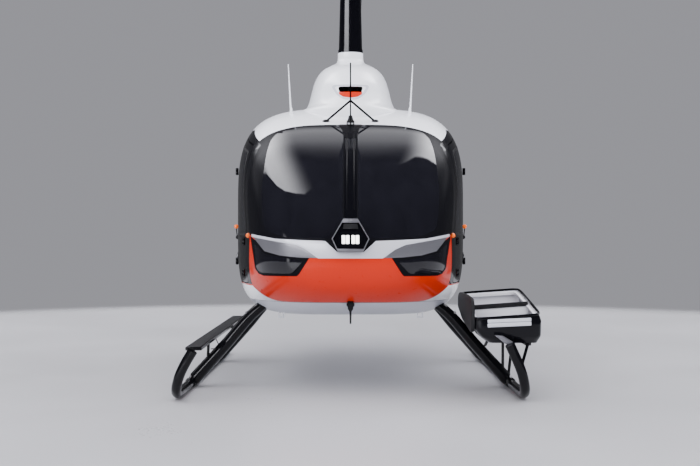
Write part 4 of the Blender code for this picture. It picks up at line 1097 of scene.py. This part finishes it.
# height, leading station, chord, thickness over chord
fins = {"upper": ((2.20, 8.75, 0.74, 0.09), (2.30, 8.80, 0.70, 0.09), (2.75, 9.10, 0.56, 0.10),
                  (3.10, 9.335, 0.42, 0.10), (3.15, 9.40, 0.30, 0.07)),
        "lower": ((1.45, 9.09, 0.28, 0.08), (1.48, 9.07, 0.33, 0.10), (1.75, 8.92, 0.38, 0.10),
                  (2.10, 8.70, 0.42, 0.10))}
for name, title, look in (("upper", "finTop", "whitePaint"), ("lower", "finLow", "blackPaint")):
    rows = fins[name]
    finAt = blender(rows)

    def spot(u, v):
        z = rows[0][0] + (rows[-1][0] - rows[0][0]) * v
        lead, chord, thickness = finAt(z)
        along, up = foil(2 * math.pi * u, chord, thickness)
        return (up, lead + along, z)
    bits = [dress(carve(wrap(48, 30, spot), boomSolid(tail["root"], tail["end"], -0.002)), look)]
    if name == "upper":
        bits += many("machinedSteel", drum, (0.030, 0.016, (0, 9.52, 3.152), "Z", 32, 0.003))
        bits += many("redLens", ball, (0.026, (0, 9.52, 3.165), (1, 1, 1.3)))
    place(title, bits, f"{name}_fin")

stabilizer = {"lead": 7.78, "chord": 0.42, "z": 2.264, "span": 1.22, "thick": 0.12,
              "plate": [(7.74, 2.17), (7.82, 2.46), (8.10, 2.50), (8.24, 2.46), (8.22, 2.17)]}


def stabilizerSpot(u, v):
    along, up = foil(2 * math.pi * u, stabilizer["chord"], stabilizer["thick"])
    return (stabilizer["span"] * (2 * v - 1), stabilizer["lead"] + along, stabilizer["z"] + up)


wing = carve(wrap(48, 24, stabilizerSpot), boomSolid(tail["root"], tail["end"], -0.002))
bits = [dress(wing, "whitePaint")]
for sign, look in ((1, "redLens"), (-1, "greenLens")):
    ends = sorted((sign * (stabilizer["span"] - 0.011), sign * (stabilizer["span"] + 0.011)))
    bits += many("whitePaint", plate, (rounded(stabilizer["plate"], 0.06), "side", *ends, 0.004, 3))
    bits += many(look, ball, (0.016, (sign * (stabilizer["span"] + 0.006), 7.83, 2.33), (0.6, 1.6, 1)))
place("stabilizerWing", bits, "stabilizer")

x = tail["bladeX"]
bits = many("machinedSteel", drum, (0.020, 0.14, (0.145, station, height), "X", 32),
            (0.030, 0.034, (0.225, station, height), "X", 32, 0.006),
            (0.008, 0.07, (x, station, height + 0.11), "Y", 6),
            (0.008, 0.07, (x, station, height - 0.11), "Y", 6))
bits += many("castAlloy", block, ((0.050, 0.066, 0.30), (x, station, height), 0.010, 3))
bits += many("tubePaint", rod, *[([(0.135, station + sign * 0.05, height),
                                   (0.165, station + sign * 0.055, height + sign * 0.13)], 0.005)
                                 for sign in (1, -1)])
place("tailHub", bits, "tail_rotor_hub", body="tail_rotor")
tailBladeAt = blender(((0.1603, 0.07, 0.40), (0.24, 0.13, 0.16), (0.87, 0.13, 0.11), (0.90, 0.115, 0.08)))
for name, sign in (("upper", 1), ("lower", -1)):
    def spot(u, v):
        reach = tail["bladeRoot"] + (tail["reach"] - tail["bladeRoot"]) * v
        chord, thickness = tailBladeAt(reach)
        along, up = foil(2 * math.pi * u, chord, thickness)
        return (tail["bladeX"] + up, station + sign * (along - chord * 0.35), height + sign * reach)
    blade = many("rotorPaint", wrap, (40, 26, spot))
    place(f"tailBlade.{name}", blade, f"tail_blade_{name}", body="tail_rotor")

stinger = many("tubePaint", rod, ([(0, 9.24, 1.47), (0, 9.24, 1.41), (0, 9.29, 1.345), (0, 9.42, 1.31),
                                   (0, 9.75, 1.26)], 0.014, 20, True))
place("stinger", stinger + many("tubePaint", ball, (0.020, (0, 9.735, 1.262))), "tail_skid")
print("tail")

# Landing gear

# station and height of a skid's middle line, with how far in its toe turns
skidPath = ((3.30, 0.0373, 0), (1.80, 0.0373, 0), (0.60, 0.0373, 0), (0.40, 0.0375, 0), (0.25, 0.0386, 0),
            (0.14, 0.0415, 0), (0.04, 0.0480, 0.001), (-0.045, 0.081, 0.006), (-0.093, 0.137, 0.020),
            (-0.120, 0.207, 0.044), (-0.137, 0.290, 0.084), (-0.148, 0.384, 0.138))
# side, sign, how strongly the toe turns in, the last point of a longer toe
for side, sign, lean, toe in (("left", 1, 0.8, ((-0.156, 0.432, 0.166),)), ("right", -1, 1.03, ())):
    radius = gear["skidRadius"]
    path = [(sign * (gear["skidX"] - inward * lean), station, z) for station, z, inward in skidPath + toe]
    bits = many("tubePaint", rod, (path, radius, 28, True))
    bits += many("darkPlastic", ball, (radius * 0.985, (path[0][0], 3.298, 0.0375), (1, 0.35, 1)))
    for station in gear["stations"].values():
        saddle = (sign * gear["saddleX"], station, 0.0415)
        bits += many("tubePaint", drum, (0.0405, 0.20, saddle, "Y", 32, 0.003))
        for offset in gear["clamps"]:
            x, spot = sign * gear["clampX"], station + offset
            bits += many("tubePaint", drum, (0.0425, 0.014, (x, spot, 0.0440), "Y", 32))
            bits += many("machinedSteel", drum, (0.008, 0.020, (x, spot, 0.0900), "Z", 6))
    place(f"skid.{side}", bits, f"skid_{side}")
for name, station in gear["stations"].items():
    bits = [dress(carve(legTube(station), block((4, 1, 0.2), (0, station, -0.088))), "tubePaint")]
    for sign in (1, -1):
        bits += many("darkPlastic", block, ((0.03, 0.085, 0.072), (sign * 0.5, station, 0.685), 0.008))
        bits += many("machinedSteel", drum, *[(0.009, 0.016, (sign * 0.845, spot, 0.602), "Z", 6)
                                              for spot in (station - 0.03, station + 0.03)])
    place(f"crossTube.{name}", bits, f"cross_tube_{name}")

# The step: a board with turned-down edges and tread strips, on four posts
step = {"x": -1.145, "z": 0.395, "long": 3.20, "middle": 1.45}
board = carve(block((0.12, step["long"], 0.026), (step["x"], step["middle"], step["z"] + 0.004), 0.006, 3),
              block((0.108, step["long"] - 0.012, 0.03), (step["x"], step["middle"], step["z"] - 0.006)))
bits = [dress(board, "tubePaint")]
bits += many("stepTread", block, ((0.096, step["long"] - 0.04, 0.004),
                                  (step["x"], step["middle"], 0.4108), 0.001))
bits += many("tubePaint", block, *[((0.110, 0.006, 0.018), (step["x"], 0.06 + i * 0.36, step["z"]))
                                   for i in range(9)])
for station in gear["stations"].values():
    for spot in (station - 0.03, station + 0.03):
        bits += many("tubePaint", rod, ([(-1.15, spot, step["z"]), (-1.16, spot, 0.18)], 0.008))
    spot = station + 0.05
    bits += many("tubePaint", rod, ([(-1.10, spot, 0.387), (-1.06, spot, 0.30)], 0.004),
                 ([(-1.14, spot, 0.30), (-1.06, spot, 0.31)], 0.004))
place("boardingStep", bits, "step_right")
print("landing gear")

# Side basket: tub, light lining, dividers, bright rails and the struts below
basket = {"low": 0.43, "top": 0.66, "corner": 0.17, "points": 96, "rings": 22,
          "rim": 0.617, "climb": 0.133, "tilt": 0.07, "rimPoints": 72}

# height above the floor, inner x, outer x, front station, rear station
tubAt = blender(((0.43, 1.020, 1.390, -0.03, 0.90), (0.50, 0.950, 1.4145, -0.085, 0.93),
                 (0.60, 0.905, 1.4145, -0.10, 0.95), (0.66, 0.900, 1.398, -0.10, 0.95)))


def tubPoint(turn, height, inset=0.0, lift=0.0):
    inner, outer, front, rear = tubAt(min(height, basket["top"]))
    x = (inner + outer) / 2 + ((outer - inner) / 2 - inset) * power(math.cos(turn), basket["corner"])
    station = (front + rear) / 2 + ((rear - front) / 2 - inset) * power(math.sin(turn), basket["corner"])
    rim = basket["rim"] + basket["climb"] * (station + 0.10) + basket["tilt"] * (x - 1.16)
    share = (height - basket["low"]) / (basket["top"] - basket["low"])
    return (x, station, basket["low"] + (rim - basket["low"]) * share + lift)


def tubSolid(inset=0.0, lift=0.0, low=0.43, high=0.66):
    def spot(u, v):
        return tubPoint(2 * math.pi * (u + 0.5 / basket["points"]), low + (high - low) * v, inset, lift)
    return wrap(basket["points"], basket["rings"], spot)


def behind():
    return block((1, 0.4, 1), (1.16, 1.10, 0.6))


place("basketTub", [dress(carve(tubSolid(), tubSolid(0.009, 0.009, high=0.70)), "blackPaint")], "basket_tub")
lined = carve(tubSolid(0.0095, 0.0095, high=0.655), tubSolid(0.0125, 0.0125, high=0.70))
farWall = dress(panel(lined, behind()), "basketLining")
carve(lined, behind())
lip = carve(tubSolid(0.0095, 0.004, 0.640, 0.655), tubSolid(0.040, 0.0, 0.60, 0.70))
bits = [dress(lined, "greyTrim"), farWall, dress(lip, "basketLining")]
bits += many("basketLining", block, ((0.19, 0.76, 0.010), (1.235, 0.44, 0.4433)))
divider = [(1.13, 0.45), (1.345, 0.45), (1.372, 0.52), (1.374, 0.696), (0.932, 0.665), (0.93, 0.61)]
# a dark cap along the divider's top: painted shade, standing in for the shade at the foot of the back wall
# seen above it
paintedShadeCap = [(0.935, 0.650), (1.372, 0.681), (1.372, 0.716), (0.935, 0.685)]
bits += many("basketLining", plate, (divider, "front", 0.340, 0.360, 0.003))
bits += many("darkPlastic", plate, (paintedShadeCap, "front", 0.332, 0.368, 0.004))
place("basketLiner", bits, "basket_liner")
endWall = rounded([(-0.03, 0.505), (-0.085, 0.58), (-0.09, 0.70), (-0.03, 0.756), (0.30, 0.768),
                   (0.80, 0.766), (0.93, 0.738), (0.95, 0.64), (0.60, 0.56)], 0.05)
bits = many("darkPlastic", plate, (endWall, "side", 0.889, 0.914, 0.003, 3))
path = [tubPoint(2 * math.pi * (i + 0.5) / basket["rimPoints"], basket["top"], 0.004, 0.0105)
        for i in range(basket["rimPoints"])]
bits += many("blackPaint", rod, (path, 0.011, 12, False, True))
bits += many("brightTrim", block, *[((0.320, 0.016, tall), (1.165, -0.101, z), 0.005, 3, (0, -0.045, 0))
                                    for z, tall in ((0.572, 0.029), (0.602, 0.026))])
place("basketRails", bits, "basket_rim")
bits = many("tubePaint", block, ((0.045, 0.82, 0.024), (1.3225, 0.43, 0.4175), 0.004),
            ((0.19, 0.05, 0.024), (1.215, 0.76, 0.4175), 0.004))
bits += many("tubePaint", rod, *[(points, 0.012, 16) for points in (
    ((1.236, 0.76, 0.42), (1.236, 0.76, 0.10)), ((1.322, 0.79, 0.42), (1.284, 0.79, 0.07)),
    ((1.322, 0.00, 0.44), (1.245, -0.06, 0.21)), ((1.14, 0.76, 0.43), (1.09, 0.76, 0.33)))])
bits += many("greyTrim", plate, ([(1.056, 0.494), (1.115, 0.491), (1.207, 0.435), (1.135, 0.431)], "front",
                                 -0.135, -0.03, 0.004))
place("basketStruts", bits, "basket_struts")
print("basket")

# Wire cutters, whips and the small fittings of the skin
cutter = plate([(0.96, 2.06), (0.90, 2.62), (0.925, 2.66), (0.985, 2.42), (1.12, 2.20), (1.12, 2.06)], "side",
               -0.006, 0.006, 0.002)
carve(cutter, hullCore, spend=False)
bits = [dress(cutter, "tubePaint")]
bits += many("darkPlastic", drum, (0.030, 0.060, (0, 1.055, 2.205), "Z", 32, 0.004, 0.014))
for x in (0.207, -0.207):
    bits += many("tubePaint", rod, ([(0, 0.962, 2.348), (x, 1.08, 2.186)], 0.009, 16))
    bits += many("darkPlastic", ball, (0.022, (x, 1.08, 2.186), (1.4, 1.2, 0.8)))
place("cutterTop", bits, "wire_cutter_upper")
cutter = plate([(0.225, 0.80), (0.35, 0.80), (0.32, 0.67), (0.285, 0.586), (0.262, 0.546), (0.247, 0.586),
                (0.225, 0.67)], "side", -0.026, 0.026, 0.003)
carve(cutter, fromFront([(-0.026, 0.85), (0.026, 0.85), (0.021, 0.665), (0.009, 0.645), (0.006, 0.52),
                         (-0.006, 0.52), (-0.009, 0.645), (-0.021, 0.665)], 0.5, 0.0), "INTERSECT")
carve(cutter, hullCore, spend=False)
bits = many("darkPlastic", block, ((0.060, 0.10, 0.026), (0, 0.30, 0.694), 0.006))
place("cutterLow", [dress(cutter, "tubePaint")] + bits, "wire_cutter_lower")
for side, sign in (("left", 1), ("right", -1)):
    whip = drum(0.0085, 0.42, origin, sides=20, top=0.004)
    whip.rotation_euler.y = sign * 0.0557
    whip.location = (sign * 0.5310, noseY + 1.40, 2.5095)
    bits = [dress(settle(whip, "whip"), "whitePaint")]
    bits += many("whitePaint", drum, (0.022, 0.11, (sign * 0.5175, 1.40, 2.288), "Z", 24, 0.002, 0.008))
    bits += many("whitePaint", ball, (0.035, (sign * 0.515, 1.40, 2.266), (1.0, 1.3, 0.45)))
    place(f"whip.{side}", bits, f"antenna_{side}")

# marker lamps, tie-down loops, fuel cap and plates
fitting = {"marker": (1.640, 1.25), "loops": ((0.80, 0.620), (2.95, 0.630)), "fuel": (3.38, 1.75),
           "plate": (3.40, 1.02)}
bits = []
for sign in (1, -1):
    station = fitting["marker"][0]
    skin = hullSide(*fitting["marker"])
    arm = [(sign * (skin - 0.01), station, 1.21), (sign * (skin + 0.018), station, 1.215),
           (sign * (skin + 0.026), station, 1.30)]
    bits += many("tubePaint", rod, (arm, 0.005))
    bits += many("orangeLens", ball, (0.019, (sign * (skin + 0.026), station, 1.308)))
    bits += many("darkPlastic", ball, (0.018, (sign * (skin + 0.014), station, 1.213)))
    for station, z in fitting["loops"]:
        loop = [(sign * 0.545, station, z), (sign * 0.545, station, z - 0.060),
                (sign * 0.585, station, z - 0.060), (sign * 0.585, station, z)]
        bits += many("whitePaint", rod, (loop, 0.007))
    if sign > 0:
        fuelSpot = (hullSide(*fitting["fuel"]) + 0.001, *fitting["fuel"])
        bits += many("machinedSteel", drum, (0.050, 0.014, fuelSpot, "X", 40, 0.004))
    plateSpot = (sign * (hullSide(*fitting["plate"]) - 0.001), *fitting["plate"])
    bits += many("darkPlastic", block, ((0.012, 0.16, 0.10), plateSpot, 0.004))
place("skinFittings", bits)
print("fittings")

# Cabin: padded seats with harness, console with its screens, controls
seat = {"width": 0.40, "cushion": (0.40, 0.42, 0.13), "back": (0.40, 0.12, 0.56), "tilt": 0.235,
        "floor": 0.7565,
        "rows": (("front", 1.12, 2, 0.72), ("middle", 1.98, 4, 0.43), ("rear", 2.84, 4, 0.43))}
pad = {"voxel": 0.006, "pressure": 4, "frames": 20, "swell": 0.012, "channels": (-0.115, 0.115),
       "width": 0.010, "across": 0.02, "keep": 0.10}


def padOf(size):
    # a foam pad: remeshed, swollen by cloth pressure, then its channels are drawn in
    obj = block([side * 0.93 for side in size], origin, 0.035, 4)
    modify(obj, "REMESH", mode="VOXEL", voxel_size=pad["voxel"])
    rest = np.array([vertex.co for vertex in obj.data.vertices])
    cloth = obj.modifiers.new("cloth", "CLOTH")
    cloth.settings.use_pressure = True
    cloth.settings.uniform_pressure_force = pad["pressure"]
    cloth.settings.effector_weights.gravity = 0
    cloth.point_cache.frame_start, cloth.point_cache.frame_end = 1, pad["frames"]
    for tick in range(1, pad["frames"] + 1):
        bpy.context.scene.frame_set(tick)
    pick(obj)
    bpy.ops.object.modifier_apply(modifier="cloth")
    bpy.context.scene.frame_set(1)
    for vertex, start in zip(obj.data.vertices, rest):
        moved = Vector(vertex.co) - Vector(start)
        vertex.co = Vector(start) + moved * min(1.0, pad["swell"] / max(moved.length, 1e-9))
    lengthwise, thin = (1, 2) if size[1] > size[2] else (2, 1)
    for vertex in obj.data.vertices:
        channel = min(abs(vertex.co.x - x) for x in pad["channels"])
        across = abs(vertex.co[lengthwise] - pad["across"])
        pull = 0.010 * math.exp(-(channel / pad["width"]) ** 2)
        pull += 0.008 * math.exp(-(across / pad["width"]) ** 2)
        vertex.co[thin] -= math.copysign(pull, vertex.co[thin])
    modify(obj, "SUBSURF", levels=1, render_levels=1)
    return dress(smooth(modify(obj, "DECIMATE", ratio=pad["keep"]), 180), "leather")


cushion = padOf(seat["cushion"])
backrest = padOf(seat["back"])
headPad = dress(soften(block((0.235, 0.085, 0.20), origin), 0.035, 5), "leather")
# shape, distance aft of the row's front, height above the floor, turn
padRows = ((cushion, 0.225, 0.365, 0.09), (backrest, 0.515, 0.70, 0.02 - seat["tilt"]),
           (headPad, 0.580, 1.06, -0.02))
strapEdge = ((0.44, 0.45), (0.525, 0.96), (0.60, 0.985), (0.60, 0.98), (0.53, 0.952), (0.446, 0.45))
for row, front, count, pitch in seat["rows"]:
    pads, hard = [], []
    ground = seat["floor"]
    for i in range(count):
        x = pitch * (i - (count - 1) / 2)
        for model, back, up, turn in padRows:
            copy = twin(model, "pad")
            copy.rotation_euler.x = turn
            copy.location = (x, noseY + (front + back), ground + up)
            pads.append(settle(copy, "pad"))
        hard += many("darkPlastic", block, ((0.39, 0.025, 0.60), (x, front + 0.585, ground + 0.68), 0.01, 2,
                                            (-seat["tilt"], 0, 0)))
        strap = [(front + back, ground + up) for back, up in strapEdge]
        hard += many("redWebbing", slab, *[(strap, "side", x + side - 0.022, x + side + 0.022)
                                           for side in (-0.075, 0.075)])
        hard += many("machinedSteel", block, ((0.055, 0.018, 0.075), (x, front + 0.41, ground + 0.47), 0.006))
    half = min(pitch * (count - 1) / 2 + seat["width"] / 2, 0.54)
    hard += many("cabinLining", block, ((2 * half, 0.38, 0.28), (0, front + 0.27, ground + 0.15), 0.02, 3))
    whole = place(f"{row}Seats", pads, f"{row}_seats", angle=None)
    place(f"{row}Frames", hard)
for model in (cushion, backrest, headPad):
    bpy.data.objects.remove(model)

bits = many("darkPlastic", block, ((0.30, 0.26, 0.40), (0, 0.85, 0.960), 0.02, 3))
hood = rounded([(0.66, 1.10), (0.585, 1.30), (0.65, 1.345), (0.76, 1.335), (0.80, 1.10)], 0.02, 4)
bits += many("darkPlastic", plate, (hood, "side", -0.40, 0.40, 0.008))
for x in (-0.24, 0.0, 0.24):
    bits += many("screenGlass", block, ((0.19, 0.008, 0.135), (x, 0.783, 1.225), 0.003, 2, (0.17, 0, 0)))
    bits += many("greyTrim", block, ((0.205, 0.006, 0.150), (x, 0.779, 1.225), 0.004, 2, (0.17, 0, 0)))
for i in range(10):
    spot = (-0.10 + 0.05 * (i % 5), 0.985, 1.02 + 0.06 * (i // 5))
    bits += many("greyTrim", drum, (0.008, 0.016, spot, "Y", 20, 0.002))
for x in (-0.30, -0.18, 0.18, 0.30):
    bits += many("machinedSteel", block, ((0.075, 0.02, 0.12), (x, 0.68, 0.86), 0.006, 2, (0.5, 0, 0)))
    bits += many("tubePaint", rod, ([(x, 0.68, 0.86), (x, 0.78, 0.762)], 0.008))
place("console", bits, "instrument_panel")
column = [(0, 1.04, 0.757), (0, 1.04, 0.85), (0, 1.02, 1.30), (0, 1.05, 1.36)]
yoke = [(-0.36, 1.06, 1.30), (-0.36, 1.06, 1.352), (0, 1.05, 1.355), (0.36, 1.06, 1.352), (0.36, 1.06, 1.30)]
bits = many("tubePaint", rod, (column, 0.014, 20, True), (yoke, 0.012, 16, True))
for x in (-0.36, 0.36):
    bits += many("darkPlastic", drum, (0.019, 0.115, (x, 1.06, 1.290), "Z", 24, 0.006))
    bits += many("redLens", ball, (0.007, (x, 1.04, 1.335)))
place("cyclic", bits, "cyclic_control")
print("cabin")

# The CAD pieces that stay: floor, bulkhead, engine and gearbox
for node, look in (("cabin_floor", "carpet"), ("aft_bulkhead", "cabinLining"), ("engine_block", "castAlloy"),
                   ("main_gearbox", "castAlloy")):
    dress(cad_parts[node], look)

# Stage, light and camera
stage = {"radius": 9.6, "depth": 0.02, "fade": (7.6, 9.4), "sun": 1.5, "spread": 60, "sunTurn": (30, -14)}


def stagePaint(point):
    # poured floor: slow mottling, fine speckle and polished patches, fading out at its rim
    x, y, z = point.split()
    rim = (x * x + y * y).math("SQRT").ease(*stage["fade"])
    cloud = point.noise(0.5, 4, 0.6)
    return {"Base Color": cloud.blend((0.42, 0.42, 0.435, 1), (0.48, 0.48, 0.495, 1)),
            "Roughness": 0.20 + cloud * 0.18 + point.noise(40, 3) * 0.04, "Alpha": 1 - rim}


finish("pouredFloor", stagePaint)
floor = drum(stage["radius"], stage["depth"], (0, -noseY, -stage["depth"] / 2), sides=128)
settle(floor, "studioFloor")
dress(floor, "pouredFloor")

sun = bpy.data.lights.new("softSun", "SUN")
sun.energy = stage["sun"]
sun.angle = math.radians(stage["spread"])
sunObject = bpy.data.objects.new("softSun", sun)
bpy.context.scene.collection.objects.link(sunObject)
sunObject.rotation_euler = (*[math.radians(angle) for angle in stage["sunTurn"]], 0)
sunObject.visible_glossy = False

# The world: an even dome for light, a plain backdrop, and soft boxes for the reflections
world = bpy.data.worlds.new("studio")
bpy.context.scene.world = world
world.use_nodes = True
tree = world.node_tree
background = tree.nodes["Background"]
way = Wire(tree, tree.nodes.new("ShaderNodeTexCoord").outputs["Generated"])
x, y, z = way.split()
side = abs(x)
# the front edge of the ceiling light, as (direction across, direction along)
ceilingEdge = [(-0.62, 0.30), (-0.55, 0.05), (-0.46, -0.09), (-0.34, -0.17), (-0.24, -0.20), (-0.12, -0.08),
               (-0.03, 0.08), (0.04, 0.18), (0.13, 0.22), (0.26, 0.31), (0.50, 0.33), (0.80, 0.45)]
edge = way.node("ValToRGB", {"stops": [(a / 2 + 0.5, (b + 0.5,) * 3 + (1.0,)) for a, b in ceilingEdge]},
                {"Fac": x * 0.5 + 0.5})
ceiling = (y - (edge - 0.5)).ease(0.0, 0.03) * z.ease(0.22, 0.42)
boxes = side.ease(0.13, 0.44) * (1 - side.ease(0.55, 0.66)) * 9.5
back = y.ease(0.30, 0.66) * 2.3
low = 1 - y.ease(0.57, 0.67)
strip = (1 - abs(x + 0.77).ease(0.02, 0.05)) * (1 - y.ease(-0.35, -0.2)) * (1 - z.ease(0.25, 0.4)) * 3.0
# a narrow light that the mast fairing mirrors as a streak
rise = z.ease(0.17, 0.27) * (1 - z.ease(0.285, 0.30))
streak = (1 - abs(x + 0.46).ease(0.26, 0.32)) * (1 - y.ease(-0.5, -0.3)) * rise
wall = 0.032 + y.ease(0.2, 0.9) * 0.07
seen = wall + strip + streak * 34.0 + ceiling * low * (boxes + back)
reflected = way.node("CombineXYZ", None, {0: seen, 1: seen, 2: seen * 1.06})
rays = way.node("LightPath").socket.node.outputs
dome = z.ease(-0.1, 0.8).blend((1.55, 1.55, 1.65, 1), (2.65, 2.65, 2.85, 1))
lit = Wire(tree, rays["Is Glossy Ray"]).blend(dome, reflected)
shown = Wire(tree, rays["Is Camera Ray"]).blend(lit, (0.33, 0.33, 0.36, 1))
tree.links.new(shown.socket, background.inputs["Color"])

# The camera stands where the photo's did: 8.1 m in front of the nose, 1.21 m above the floor
camera = bpy.data.cameras.new("camera")
camera.lens = camera.sensor_width * photo["focal"] / photo["width"]
camera.clip_end = 300
eye = bpy.data.objects.new("camera", camera)
bpy.context.scene.collection.objects.link(eye)
eye.location = photo["eye"]
tilt = math.atan((photo["horizon"] - photo["height"] / 2) / photo["focal"])
turn = math.atan((photo["column"] - photo["width"] / 2) / photo["focal"])
eye.rotation_euler = (math.pi / 2 + tilt, 0, turn)
bpy.context.scene.camera = eye

for helper in (thickHull, thinHull, hullCore):
    bpy.data.objects.remove(helper)
